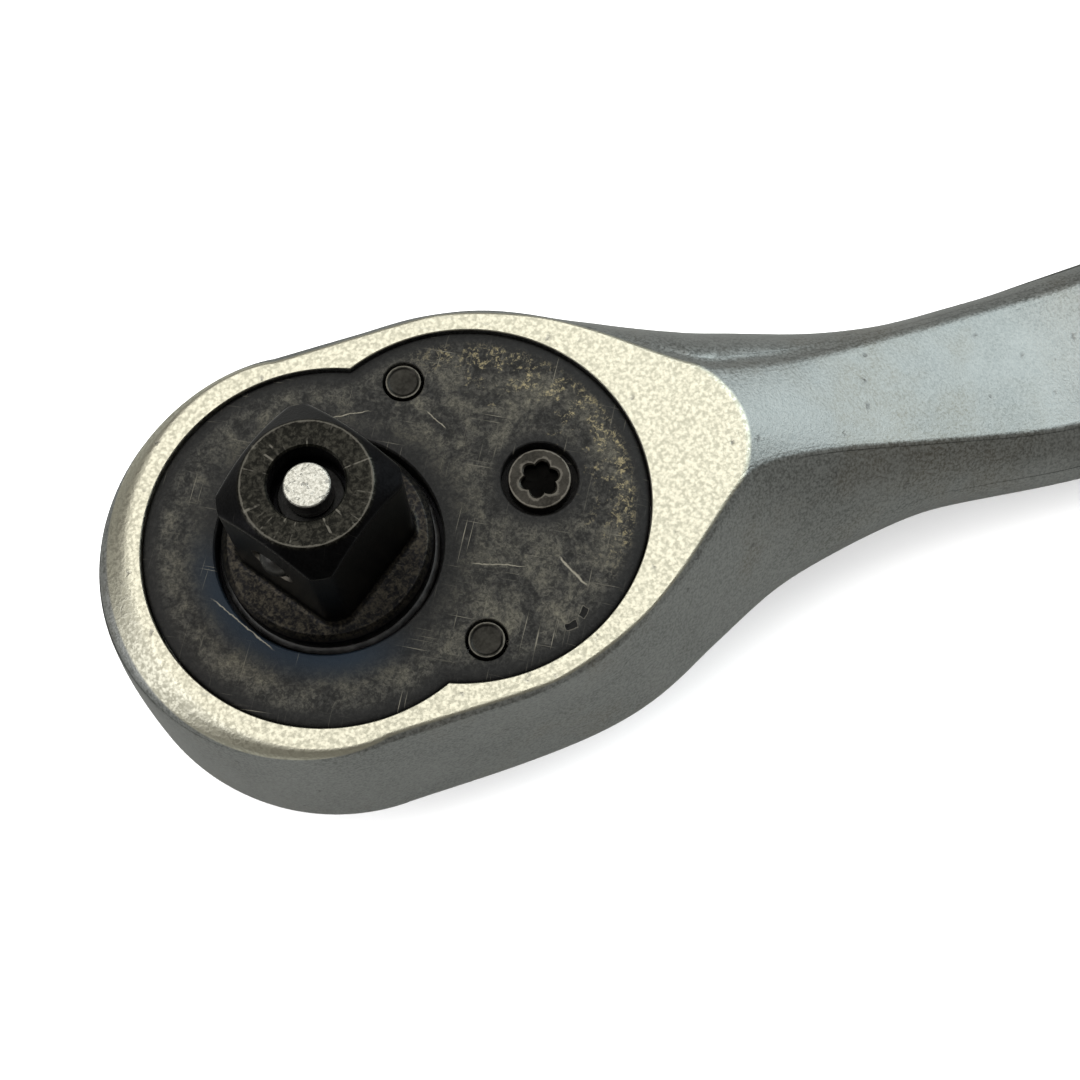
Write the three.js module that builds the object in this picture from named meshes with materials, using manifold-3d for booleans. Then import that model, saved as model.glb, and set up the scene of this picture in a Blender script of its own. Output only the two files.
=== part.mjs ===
// A reversible ratchet wrench with a 3/8 inch (9.525 mm) square drive.
// Millimetres, +Z out of the drive side, +X along the handle.
// The origin is on the drive axis, on the thumb face of the socket release button at the back.
// Inside the assembly group z = 0 is the rim face of the head, round the cover plate.

import * as THREE from 'three';
import { mergeVertices } from 'three/addons/utils/BufferGeometryUtils.js';
import Module from 'manifold-3d';

const wasm = await Module();
wasm.setup();

// ---------------------------------------------------------------- driving dimensions
const buttonToRim = 21.2;          // thumb face of the button up to the rim face

const headThickness = 16.4;
const headRadius = 16.4;            // widest part of the head, round the drive axis
const handleEnd = 166;             // drive axis to the butt
const buttRadius = 9;

const lobeX = 9.91;                // centre of the pawl lobe of the cover plate
const driveLobe = 13.1;            // plate radius round the drive axis
const pawlLobe = 13.04;            // plate radius round the pawl lobe's centre
const plateGap = 0.25;
const plateTop = -0.1;
const plateThickness = 2;
const plateHole = 8;
const recessFloor = plateTop - plateThickness - 0.25;
const pocketFloor = -11.7;
const gearPocket = 10.6;
const pawlPocket = 12.5;

const screwX = 15.41;
const screwHead = 2.25;
const counterbore = 2.75;
const counterboreDepth = 1.4;
const screwSeat = 1.1;             // head height
const screwShank = 1.25;
const screwClearance = 0.25;
const screwEnd = -8.6;
const screwHoleEnd = -10;
const screwPost = 2.75;
const recessRadius = 1.23;         // six-lobed recess for a T10 driver
const recessDepth = 0.85;

const pinX = 8.38;
const pinY = 10.04;
const pinRadius = 1.28;
const pinClearance = 0.22;
const pinEnd = -14.1;
const pinHoleEnd = -14.4;

const square = 9.525;
const squareTurn = -8.5;           // degrees from the handle axis to a corner of the square
const cornerRadius = 6.05;
const squareEnd = 12.28;
const landRadius = 4.32;          // flat ring at the end of the square
const leadIn = 1.5;
const flangeRadius = 7.4;
const flangeTop = 1.1;

const teeth = 72;
const gearTip = 10;
const gearRoot = 9.45;
const gearTop = -2.45;
const gearBottom = -8.35;
const journal = 4.2;
const journalEnd = -18.3;

const leverTop = -16.75;
const dialRadius = 10;
const dialThickness = 2;
const collarEnd = -21.5;
const leverAtRest = -20;           // degrees, half of the lever's 40 degree throw
const neckRadius = 6.1;
const neckBore = 4.45;
const runningGap = 0.3;            // between a turning piece and its bore
const camRadius = 9.85;
const camLobe = 10.8;

const rodRadius = 1.56;
const buttonRadius = 3;
const springSeat = -10.4;
const ballRadius = 1.35;
const ballHeight = 6.9;

// ---------------------------------------------------------------- finishes
const finish = (color, metalness, roughness) =>
  new THREE.MeshStandardMaterial({ color, metalness, roughness });
const satinChrome = finish('#b9b8b0', 1, 0.36);
const blackPhosphate = finish('#3d3a34', 0.8, 0.5);
const blackOxide = finish('#24211f', 0.8, 0.4);
const brightSteel = finish('#c9c8c4', 1, 0.25);
const springSteel = finish('#8d8f92', 1, 0.3);
const blackRubber = finish('#161616', 0, 0.8);

// ---------------------------------------------------------------- helpers
const radians = THREE.MathUtils.degToRad;

function polar(radius, degrees) {
  return [radius * Math.cos(radians(degrees)), radius * Math.sin(radians(degrees))];
}

function solid(geometry) {
  const bare = geometry.index ? geometry.toNonIndexed() : geometry.clone();
  bare.deleteAttribute('normal');
  bare.deleteAttribute('uv');
  const merged = mergeVertices(bare, 1e-4);
  const kept = [];
  const index = merged.index.array;
  for (let i = 0; i < index.length; i += 3) {
    const [a, b, c] = [index[i], index[i + 1], index[i + 2]];
    if (a !== b && b !== c && c !== a) kept.push(a, b, c);
  }
  return new wasm.Manifold(new wasm.Mesh({
    numProp: 3,
    vertProperties: new Float32Array(merged.attributes.position.array),
    triVerts: new Uint32Array(kept),
  }));
}

function geometryOf(manifold) {
  const mesh = manifold.getMesh();
  const geometry = new THREE.BufferGeometry();
  geometry.setAttribute('position', new THREE.BufferAttribute(Float32Array.from(mesh.vertProperties), 3));
  geometry.setIndex(new THREE.BufferAttribute(Uint32Array.from(mesh.triVerts), 1));
  geometry.computeVertexNormals();
  return geometry;
}

// a round bar along z from one level to another
function bar(radius, from, to, { x = 0, y = 0, sides = 30 } = {}) {
  const geometry = new THREE.CylinderGeometry(radius, radius, Math.abs(to - from), sides);
  geometry.rotateX(Math.PI / 2);
  geometry.translate(x, y, (from + to) / 2);
  return solid(geometry);
}

function tube(outer, inner, from, to, sides = 30) {
  return bar(outer, from, to, { sides }).subtract(bar(inner, from - 1, to + 1, { sides }));
}

// a straight prism of an outline given as [x, y] points
function prism(points, from, to) {
  const shape = new THREE.Shape(points.map(([x, y]) => new THREE.Vector2(x, y)));
  const geometry = new THREE.ExtrudeGeometry(shape, { depth: to - from, bevelEnabled: false });
  geometry.translate(0, 0, from);
  return solid(geometry);
}

// a turned piece: profile of [radius, z] from bottom to top
function turned(profile, sides = 30) {
  const geometry = new THREE.LatheGeometry(profile.map(([r, z]) => new THREE.Vector2(r, z)), sides);
  geometry.rotateX(Math.PI / 2);
  return solid(geometry);
}

function ball(radius, x, y, z) {
  const geometry = new THREE.SphereGeometry(radius, 12, 8);
  geometry.translate(x, y, z);
  return solid(geometry);
}

// a round wire bent along a list of points
function wire(points, radius) {
  const path = new THREE.CatmullRomCurve3(points);
  const section = new THREE.Shape();
  section.absarc(0, 0, radius, 0, Math.PI * 2);
  return new THREE.ExtrudeGeometry(section, {
    steps: points.length,
    curveSegments: 3,
    bevelEnabled: false,
    extrudePath: path,
  });
}

function helix({ radius, turns, from, to, x = 0, y = 0, perTurn = 10, startAngle = 0 }) {
  const count = Math.round(turns * perTurn);
  const points = [];
  for (let i = 0; i <= count; i += 1) {
    const angle = startAngle + (i / perTurn) * Math.PI * 2;
    points.push(new THREE.Vector3(
      x + radius * Math.cos(angle),
      y + radius * Math.sin(angle),
      from + ((to - from) * i) / count,
    ));
  }
  return points;
}

// a smooth curve through [x, value] stations, read at any x
function stations(list) {
  const last = list.length - 1;
  return (x) => {
    if (x <= list[0][0]) return list[0][1];
    if (x >= list[last][0]) return list[last][1];
    const i = list.findIndex(([at]) => at > x) - 1;
    const before = list[Math.max(i - 1, 0)];
    const [x0, y0] = list[i];
    const [x1, y1] = list[i + 1];
    const after = list[Math.min(i + 2, last)];
    const span = x1 - x0;
    const slope0 = ((y1 - before[1]) / (x1 - before[0])) * span;
    const slope1 = ((after[1] - y0) / (after[0] - x0)) * span;
    const t = (x - x0) / span;
    const u = 1 - t;
    return y0 * u * u * (1 + 2 * t) + slope0 * t * u * u + y1 * t * t * (3 - 2 * t) - slope1 * t * t * u;
  };
}

const assembly = new THREE.Group();
assembly.position.z = buttonToRim;

function place(name, shape, material) {
  const mesh = new THREE.Mesh(shape.isBufferGeometry ? shape : geometryOf(shape), material);
  mesh.name = name;
  assembly.add(mesh);
}

// ---------------------------------------------------------------- body: one forging, head to butt
// Half-widths and levels along the handle; the head is a flat-faced pear, the handle a flat bar
// with a facet on each face and full round sides.
const topHalf = stations([[0, 14.29], [11.3, 14.29], [13.6, 13.88], [16.5, 12.92], [19.6, 11.52],
  [22.7, 9.43], [25.8, 6.89], [28.6, 4.72], [30.8, 3.81], [36.3, 3.54], [45.4, 4.35], [55.3, 5.26],
  [77.1, 5.8], [113.4, 6.35], [157, 5.8]]);
const edgeHalf = stations([[0, 14.85], [6, 14.8], [11.3, 14.69], [16.5, 13.42], [22.7, 9.98], [28.6, 5.35],
  [30.8, 4.44], [36.3, 4.17], [45.4, 4.99], [55.3, 5.9], [77.1, 6.44], [113.4, 6.98], [157, 6.44]]);
const sideHalf = stations([[0, headRadius], [9.1, 16.33], [15.4, 15.87], [20, 14.78], [25.4, 12.34],
  [30.8, 9.98], [36.3, 8.62], [41.7, 7.75], [45.4, 7.53], [52.6, 7.94], [59, 8.34],
  [81.6, 9.25], [113.4, 9.8], [157, buttRadius]]);
const topLevel = stations([[0, 0], [27, 0], [29.9, 0], [30.8, -0.23], [32.7, -1], [39, -3.72], [45.4, -6.17],
  [50.8, -8.05], [56.2, -9.45], [63.5, -10.1], [80, -9.9], [113.4, -9.1], [157, -9.43]]);
const sideLevel = stations([[0, -13.15], [15.4, -12.24], [27.2, -9.98], [41.7, -10.16], [49, -11.79],
  [56.2, -13.06], [157, -13.24]]);
const backLevel = stations([[0, -headThickness], [40.8, -16.33], [56.2, -17.23], [113.4, -17.87],
  [157, -17.14]]);
const backHalf = stations([[0, 13.61], [9.1, 13.61], [20, 11.43], [30.8, 5.9], [41.7, 4.17], [55.3, 5.26],
  [113.4, 6.35], [157, 5.8]]);

const edgeDrop = 0.45;             // bevel round the rim face, wide and steep round the nose
const noseFlare = 1.55;
const noseDrop = 0.9;
const noseSwell = 0.45;            // the rim face is widest a little way round the nose
const noseReach = 0.55;            // and the wall stands further out

// the section's outline as [half-width, level] from the middle of the face to the middle of the back
function section(x, noseShare) {
  const top = Math.min(topLevel(x), 0);
  const swell = noseSwell * 4 * noseShare * (1 - noseShare);
  const bevel = noseShare ** 4;
  const face = [topHalf(x) + swell, top];
  const edge = [edgeHalf(x) + 0.6 * swell + noseFlare * bevel, top - edgeDrop - noseDrop * bevel];
  const side = [sideHalf(x) + noseReach * noseShare, sideLevel(x)];
  const back = [backHalf(x), backLevel(x)];
  const roundness = THREE.MathUtils.smoothstep(x, 11, 33);
  const points = [[0, top], face, edge];
  for (const t of [0.3, 0.65]) {
    const arc = (t * Math.PI) / 2;
    const across = THREE.MathUtils.lerp(t, Math.sin(arc), roundness);
    const down = THREE.MathUtils.lerp(t, 1 - Math.cos(arc), roundness);
    points.push([edge[0] + (side[0] - edge[0]) * across, edge[1] + (side[1] - edge[1]) * down]);
  }
  points.push(side);
  for (const t of [0.35, 0.7]) {
    const arc = (t * Math.PI) / 2;
    const across = back[0] + (side[0] - back[0]) * Math.cos(arc);
    const down = side[1] + (back[1] - side[1]) * Math.sin(arc);
    points.push([across, down]);
  }
  points.push(back, [0, back[1]]);
  return points;
}

function forging() {
  const buttX = handleEnd - buttRadius;
  const rows = [];
  const noseSteps = 14;
  for (let i = noseSteps; i > 0; i -= 1) {
    const angle = 90 + (90 * i) / noseSteps;
    rows.push({ x: 0, angle, share: Math.sin(radians(angle - 90)) ** 0.7 });
  }
  const along = [0, 5.4, 10, 11.8, 13.6, 15.4, 17.2, 19, 20.9, 22.7, 24.5, 26.3, 27.7, 29, 30.1, 31,
    32.6, 34.5, 37.2, 40, 42.6, 45.4, 49, 52.6, 56.2, 61.7, 69, 80, 92, 104, 116, 129, 143];
  for (const x of along) rows.push({ x, angle: 90, share: 0 });
  const buttSteps = 8;
  for (let i = 0; i <= buttSteps; i += 1) {
    rows.push({ x: buttX, angle: 90 - (90 * i) / buttSteps, share: 0 });
  }

  const upper = rows.map(({ x, angle, share }) => section(x, share).map(([s, z]) => {
    const [dx, dy] = polar(s, angle);
    return [x + dx, dy, z];
  }));
  const lower = upper.slice(1, -1).reverse().map((row) => row.map(([x, y, z]) => [x, -y, z]));
  const rings = [...upper, ...lower];
  const positions = [];
  for (let i = 0; i < rings.length; i += 1) {
    const here = rings[i];
    const next = rings[(i + 1) % rings.length];
    for (let j = 0; j + 1 < here.length; j += 1) {
      positions.push(...here[j], ...next[j + 1], ...here[j + 1]);
      positions.push(...here[j], ...next[j], ...next[j + 1]);
    }
  }
  const geometry = new THREE.BufferGeometry();
  geometry.setAttribute('position', new THREE.Float32BufferAttribute(positions, 3));
  return solid(geometry);
}

function twoLobes(first, second, from, to) {
  return bar(first, from, to, { sides: 64 }).add(bar(second, from, to, { x: lobeX, sides: 64 }));
}

const detentX = -8.5;              // click ball of the lever, on the nose side of the lever's bore
const detentRadius = 0.8;
const detentClearance = 0.25;
const detentHoleEnd = -13;
const above = 20;                  // cutting tools run past the piece on the open side
const below = -30;

let body = forging();
const plateBottom = plateTop - plateThickness;
body = body.subtract(twoLobes(driveLobe + plateGap, pawlLobe + plateGap, recessFloor, above));
const pocket = bar(gearPocket, pocketFloor, 0, { sides: 48 })
  .add(bar(pawlPocket, pocketFloor, 0, { x: lobeX, sides: 48 }))
  .subtract(bar(screwPost, pocketFloor - 1, above, { x: screwX, sides: 24 }));
body = body.subtract(pocket);
body = body.subtract(bar(screwShank + screwClearance, screwHoleEnd, above, { x: screwX, sides: 18 }));
for (const side of [1, -1]) {
  const place = { x: pinX, y: side * pinY, sides: 18 };
  body = body.subtract(bar(pinRadius + pinClearance, pinHoleEnd, above, place));
}
body = body.subtract(bar(neckRadius + runningGap, below, above, { sides: 40 }));
body = body.subtract(bar(detentRadius + detentClearance, below, detentHoleEnd, { x: detentX, sides: 16 }));
place('body', body, satinChrome);

// ---------------------------------------------------------------- cover plate, its screw, the pawl pins
let plate = twoLobes(driveLobe, pawlLobe, plateBottom, plateTop);
plate = plate.subtract(bar(plateHole, below, above, { sides: 48 }));
plate = plate.subtract(bar(screwShank + screwClearance, below, above, { x: screwX, sides: 18 }));
plate = plate.subtract(bar(counterbore, plateTop - counterboreDepth, above, { x: screwX, sides: 30 }));
for (const side of [1, -1]) {
  const place = { x: pinX, y: side * pinY, sides: 24 };
  plate = plate.subtract(bar(pinRadius + pinClearance, below, above, place));
}
place('cover_plate', plate, blackPhosphate);

function starRecess(radius, x, from, to) {
  const points = [];
  const steps = 36;
  const lobes = 6;
  const lobeDepth = 0.14;
  for (let i = 0; i < steps; i += 1) {
    const degrees = (360 * i) / steps;
    const [dx, dy] = polar(radius * (1 + lobeDepth * Math.cos(radians(lobes * degrees))), degrees);
    points.push([x + dx, dy]);
  }
  return prism(points, from, to);
}

const screw = bar(screwHead, plateTop - screwSeat, plateTop, { x: screwX, sides: 30 })
  .add(bar(screwShank, screwEnd, plateTop - recessDepth, { x: screwX, sides: 18 }))
  .subtract(starRecess(recessRadius, screwX, plateTop - recessDepth, above));
place('cover_screw', screw, blackOxide);

for (const [name, side] of [['pawl_pin_left', 1], ['pawl_pin_right', -1]]) {
  place(name, bar(pinRadius, pinEnd, plateTop, { x: pinX, y: side * pinY, sides: 24 }), brightSteel);
}

// ---------------------------------------------------------------- drive anvil: gear, journals and square
function gearOutline() {
  const points = [];
  for (let i = 0; i < teeth; i += 1) {
    points.push(polar(gearTip, (360 * i) / teeth));
    points.push(polar(gearRoot, (360 * (i + 0.5)) / teeth));
  }
  return points;
}

const corners = [0, 90, 180, 270].map((turn) => polar(square / Math.SQRT2, turn + squareTurn));
const squareFoot = flangeTop - 1;
const turnedEnd = turned([[0, squareFoot], [cornerRadius, squareFoot], [cornerRadius, squareEnd - leadIn],
  [landRadius, squareEnd], [0, squareEnd]], 60);
const squareBar = prism(corners, squareFoot, squareEnd).intersect(turnedEnd);
const grooveRadius = 6.65;
const grooveBottom = -1.85;
const grooveTop = -0.65;
const endBore = 2.52;
const endBoreFloor = 8.9;
const [flatX, flatY] = polar(1, squareTurn - 135);   // outward normal of the flat that holds the ball

// the hole for the ball runs from the push rod's bore out through its flat
function ballHole() {
  const bore = ballRadius + 0.2;
  const depth = 8;
  const geometry = new THREE.CylinderGeometry(bore, bore, depth, 24);
  geometry.rotateZ(Math.PI / 2);
  geometry.translate(depth / 2, 0, 0);
  geometry.rotateZ(Math.atan2(flatY, flatX));
  geometry.translate(0, 0, ballHeight);
  return solid(geometry);
}

let anvil = prism(gearOutline(), gearBottom, gearTop)
  .add(bar(flangeRadius, gearTop - 1, flangeTop, { sides: 48 }))
  .subtract(tube(flangeRadius + 1, grooveRadius, grooveBottom, grooveTop, 48))
  .add(squareBar)
  .add(bar(journal, journalEnd, gearBottom + 1));
anvil = anvil.subtract(bar(rodRadius + runningGap, below, above, { sides: 24 }));
anvil = anvil.subtract(bar(endBore, endBoreFloor, above, { sides: 30 }));
anvil = anvil.subtract(bar(buttonRadius + runningGap, below, springSeat, { sides: 30 }));
anvil = anvil.subtract(ballHole());
place('drive_anvil', anvil, blackOxide);

function ring(centre, radius, level, sides = 30) {
  const profile = [];
  for (let i = 0; i <= 6; i += 1) {
    const [dr, dz] = polar(radius, 60 * i);
    profile.push([centre + dr, level + dz]);
  }
  return turned(profile, sides);
}

place('drive_o_ring', ring(7.3, 0.45, -1.25), blackRubber);
place('thrust_washer', tube(7.6, neckBore + 0.1, -9.05, -8.65), springSteel);

// ---------------------------------------------------------------- socket release: button, rod, spring, ball
const buttonFace = -buttonToRim;
const buttonTop = -15.9;
const tailRadius = 0.85;           // the rod's tail, pressed into the button
const tailEnd = -18.3;
const tailShoulder = -15.6;
const waistRadius = 1;             // the ball drops in here when the button is pressed
const waistLow = 3.3;
const waistHigh = 5.1;
const waistSlope = 0.6;
const rodTip = squareEnd - 0.25;
const clipLevel = 9.3;
const clipThickness = 0.55;
const clipGroove = [clipLevel - 0.25, clipLevel + 0.8];
const grooveFloor = 1.1;
const button = bar(buttonRadius, buttonFace, buttonTop, { sides: 30 })
  .subtract(bar(tailRadius + 0.25, tailEnd - runningGap, above, { sides: 16 }));
place('release_button', button, brightSteel);

const rod = turned([[0, tailEnd], [tailRadius, tailEnd], [tailRadius, tailShoulder],
  [rodRadius, tailShoulder], [rodRadius, waistLow], [waistRadius, waistLow + waistSlope],
  [waistRadius, waistHigh - waistSlope], [rodRadius, waistHigh], [rodRadius, clipGroove[0]],
  [grooveFloor, clipGroove[0]], [grooveFloor, clipGroove[1]], [rodRadius, clipGroove[1]],
  [rodRadius, rodTip], [0, rodTip]], 20);
place('release_plunger', rod, brightSteel);
const clip = tube(2.22, grooveFloor + 0.25, clipLevel, clipLevel + clipThickness, 24);
place('release_clip', clip, springSteel);
const releaseCoil = helix({ radius: 2.4, turns: 5, from: -15.4, to: -10.85, perTurn: 8 });
place('release_spring', wire(releaseCoil, 0.22), springSteel);

const ballProud = 0.5;
const ballOut = square / 2 + ballProud - ballRadius;
place('socket_ball', ball(ballRadius, flatX * ballOut, flatY * ballOut, ballHeight), brightSteel);

// ---------------------------------------------------------------- pawls and their springs
const pawlTop = -4.55;
const pawlBottom = -11.4;
const meshGap = 0.23;
const backGap = 0.32;              // from the wheel's tips to the hollow of the arm
const camClearance = -9.25;        // the arm is relieved below this level, over the cam
const pawlBoss = 2;

// the left pawl, as it stands when it is in mesh with the gear
function pawlInMesh() {
  const outline = [];
  for (const degrees of [50, 44, 38, 32]) outline.push(polar(gearTip + backGap, degrees));
  for (const tooth of [5.5, 4.5, 3.5]) {
    outline.push(polar(gearTip + meshGap, (360 * (tooth + 0.5)) / teeth));
    outline.push(polar(gearRoot + meshGap, (360 * tooth) / teeth));
  }
  outline.push(polar(gearTip + meshGap, 15), polar(12.15, 13.5), [12.15, 4.7], [11.4, 7.8]);
  outline.push([pinX + pawlBoss, pinY], [pinX, pinY]);
  return prism(outline.reverse(), pawlBottom, pawlTop)
    .add(bar(pawlBoss, pawlBottom, pawlTop, { x: pinX, y: pinY, sides: 28 }))
    .subtract(bar(pinRadius + pinClearance, below, above, { x: pinX, y: pinY, sides: 24 }))
    .subtract(bar(gearTip + backGap, below, camClearance, { sides: 60 }));
}

// coil round the pin with one leg lying along the pawl
function pawlSpring() {
  const coil = helix({
    radius: 1.8, turns: 2.25, from: -4.12, to: -3, x: pinX, y: pinY, startAngle: Math.PI / 2,
  });
  const leg = [3.8, 4.7, 5.8].map((y) => new THREE.Vector3(pinX + 2.6 - 0.02 * y, y, -4.24));
  const bend = new THREE.Vector3(pinX + 1.95, pinY - 1.45, -4.22);
  const afterBend = 8;
  return wire([...leg, bend, ...coil.slice(afterBend)], 0.22);
}

const pawlLift = 9;                // degrees, from mesh to held off
function turnedAboutPin(geometry, degrees, mirrored) {
  const moved = geometry.clone();
  moved.translate(-pinX, -pinY, 0);
  moved.rotateZ(radians(degrees));
  moved.translate(pinX, pinY, 0);
  if (mirrored) {
    moved.scale(1, -1, 1);
    const flat = moved.index ? moved.toNonIndexed() : moved;
    const p = flat.attributes.position.array;
    const triangle = 9;
    for (let i = 0; i < p.length; i += triangle) {
      for (let k = i + 3; k < i + 6; k += 1) [p[k], p[k + 3]] = [p[k + 3], p[k]];
    }
    return geometryOf(solid(flat));
  }
  return moved;
}

place('pawl_left', turnedAboutPin(geometryOf(pawlInMesh()), 0, false), springSteel);
place('pawl_right', turnedAboutPin(geometryOf(pawlInMesh()), pawlLift, true), springSteel);
const springGeometry = geometryOf(solid(pawlSpring()));
place('pawl_spring_left', turnedAboutPin(springGeometry, 0, false), brightSteel);
place('pawl_spring_right', turnedAboutPin(springGeometry, pawlLift, true), brightSteel);

// ---------------------------------------------------------------- selector: cam, lever, ring, click ball
const camTop = -9.9;
const camBottom = -11.45;
const keyRadius = 5.45;
const keyHalf = 5;
const neckTop = -11.75;
const sealGroove = [-14.4, -13.2];
const ringGroove = [-9.95, -9.1];
const collarRadius = 6;
const dimpleRadius = 1;

function slab(halfLength, halfWidth, from, to, x = 0) {
  const corner = [[-1, -1], [1, -1], [1, 1], [-1, 1]];
  return prism(corner.map(([i, j]) => [x + i * halfLength, j * halfWidth]), from, to);
}

// a round bar with two flats
function keyedBar(radius, halfWidth, from, to) {
  return bar(radius, from, to).intersect(slab(radius + 1, halfWidth, from, to));
}

const lobe = prism([[0, 0], polar(camLobe, -10), polar(camLobe, -4), polar(camLobe, 4), polar(camLobe, 10)],
  camBottom, camTop);
const cam = bar(camRadius, camBottom, camTop, { sides: 60 })
  .add(lobe)
  .subtract(keyedBar(keyRadius + 0.25, keyHalf + 0.25, below, above));
place('selector_cam', geometryOf(cam.rotate([0, 0, leverAtRest])), springSteel);
place('selector_snap_ring', tube(6.5, 5.3, -9.75, -9.3), springSteel);

const armLength = 16.8;
const armHalf = 4.2;
const armTip = [-60, -30, 0, 30, 60].map((turn) => {
  const [dx, dy] = polar(armHalf, turn);
  return [armLength - armHalf + dx, dy];
});
const arm = [[0, -6.8], [8.2, -5.1], ...armTip, [8.2, 5.1], [0, 6.8]];
const dialBottom = leverTop - dialThickness;
let lever = bar(dialRadius, dialBottom, leverTop, { sides: 48 })
  .add(prism(arm, dialBottom, leverTop))
  .add(bar(collarRadius, collarEnd, leverTop))
  .add(bar(neckRadius, leverTop - 1, neckTop))
  .add(keyedBar(keyRadius, keyHalf, neckTop - 0.75, -9.25));
const thumbRidges = [11.55, 13.05, 14.55];
for (const x of thumbRidges) lever = lever.add(slab(0.45, 3.3, dialBottom - 0.8, dialBottom + 0.5, x));
lever = lever
  .subtract(bar(neckBore, below, above))
  .subtract(tube(neckRadius + 2, 5.45, ...sealGroove))
  .subtract(tube(neckRadius + 2, 5.05, ...ringGroove))
  .subtract(tube(-detentX + 1.1, -detentX - 1.1, leverTop - 0.8, leverTop + 0.5, 48));
for (const turn of [180 - leverAtRest, 180 + leverAtRest]) {
  const [x, y] = polar(-detentX, turn);
  lever = lever.subtract(ball(dimpleRadius, x, y, leverTop - 0.3));
}
place('reverse_lever', geometryOf(lever.rotate([0, 0, leverAtRest])), satinChrome);
place('lever_o_ring', ring(5.83, 0.3, -13.8), blackRubber);
place('click_ball', ball(detentRadius, detentX, 0, -16.4), brightSteel);
const clickCoil = helix({ radius: 0.58, turns: 4, from: -15.4, to: -13.25, x: detentX, perTurn: 8 });
place('click_spring', wire(clickCoil, 0.15), springSteel);

export default assembly;
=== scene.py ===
# A 3/8 inch square-drive ratchet wrench, lying on its back with the square up.
# Built in the order it goes together: forging, mechanism, cover, drive, release, lever.
import math

import bmesh
import bpy
import numpy as np
from mathutils import Euler, Matrix, Vector


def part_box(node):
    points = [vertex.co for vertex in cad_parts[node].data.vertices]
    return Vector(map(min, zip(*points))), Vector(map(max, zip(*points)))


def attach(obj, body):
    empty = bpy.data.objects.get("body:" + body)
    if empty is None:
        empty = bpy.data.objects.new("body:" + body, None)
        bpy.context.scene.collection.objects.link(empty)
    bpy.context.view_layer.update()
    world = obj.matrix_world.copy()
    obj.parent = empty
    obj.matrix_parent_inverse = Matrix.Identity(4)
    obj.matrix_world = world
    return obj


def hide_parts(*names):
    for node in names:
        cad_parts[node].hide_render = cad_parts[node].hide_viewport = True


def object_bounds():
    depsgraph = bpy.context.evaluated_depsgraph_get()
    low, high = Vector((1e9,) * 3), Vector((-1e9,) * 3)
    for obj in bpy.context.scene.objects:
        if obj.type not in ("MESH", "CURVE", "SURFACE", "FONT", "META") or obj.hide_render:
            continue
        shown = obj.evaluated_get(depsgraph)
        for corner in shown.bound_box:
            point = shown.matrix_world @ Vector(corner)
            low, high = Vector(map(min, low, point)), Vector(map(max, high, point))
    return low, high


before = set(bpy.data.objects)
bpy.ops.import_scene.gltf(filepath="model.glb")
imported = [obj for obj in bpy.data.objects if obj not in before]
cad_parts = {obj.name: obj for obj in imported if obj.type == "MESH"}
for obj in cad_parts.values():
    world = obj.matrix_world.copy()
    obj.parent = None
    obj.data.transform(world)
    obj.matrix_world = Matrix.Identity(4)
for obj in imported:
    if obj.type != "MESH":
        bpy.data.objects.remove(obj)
cad_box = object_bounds()

MM = 0.001
plate_top = -0.1                        # the cover plate sits just under the rim face
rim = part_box("cover_plate")[1].z / MM - plate_top   # level of the flat rim face; levels are counted from it

# ------------------------------------------------------------------ camera
# A hand-held close shot from the head end, tipped back from straight above and turned a little.
camera_data = bpy.data.cameras.new("camera")
camera_data.sensor_width = 36
camera_data.lens = 65.17
camera_data.clip_start = 0.01
camera = bpy.data.objects.new("camera", camera_data)
camera.location = Vector((3.05, -45.29, rim + 129.1)) * MM
camera.rotation_euler = Euler([math.radians(a) for a in (18.147, 0.911, -17.803)])
bpy.context.scene.collection.objects.link(camera)
bpy.context.scene.camera = camera

# ------------------------------------------------------------------ floor and light
# A pale bench top just under the lever's collar in a bright white room, and soft boxes: a wide
# warm one overhead, a cooler one off the butt end, and a fill from the nose side.
floor_mesh = bpy.data.meshes.new("floor")
floor_size = 12.0
floor_level = cad_box[0][2] - 0.0001
floor_mesh.from_pydata([(x * floor_size, y * floor_size, floor_level) for x, y in
                        ((-1, -1), (1, -1), (1, 1), (-1, 1))], [], [(0, 1, 2, 3)])
floor = bpy.data.objects.new("floor", floor_mesh)
bpy.context.scene.collection.objects.link(floor)
floor_material = bpy.data.materials.new("pale_bench")
floor_material.use_nodes = True
floor_shader = floor_material.node_tree.nodes["Principled BSDF"]
floor_shader.inputs["Roughness"].default_value = 0.9
floor_shader.inputs["Specular IOR Level"].default_value = 0.1
floor_mesh.materials.append(floor_material)

world = bpy.data.worlds.new("studio")
world.use_nodes = True
bpy.context.scene.world = world
bpy.context.scene.view_settings.view_transform = "Standard"


def dim_in_reflections(tree, target, seen, reflected):
    """A colour that turns dimmer where polished metal mirrors it, as dark flags beside the set would do."""
    shade = tree.nodes.new("ShaderNodeMix")
    shade.data_type = "RGBA"
    shade.inputs["A"].default_value = (*seen, 1)
    shade.inputs["B"].default_value = (*reflected, 1)
    tree.links.new(tree.nodes.new("ShaderNodeLightPath").outputs["Is Glossy Ray"], shade.inputs["Factor"])
    tree.links.new(shade.outputs["Result"], target)


backdrop = world.node_tree.nodes["Background"].inputs["Color"]
bench_top = floor_shader.inputs["Base Color"]
dim_in_reflections(world.node_tree, backdrop, (1.7, 1.7, 1.7), (0.21, 0.2, 0.18))
dim_in_reflections(floor_material.node_tree, bench_top, (0.93, 0.93, 0.93), (0.22, 0.22, 0.21))


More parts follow.
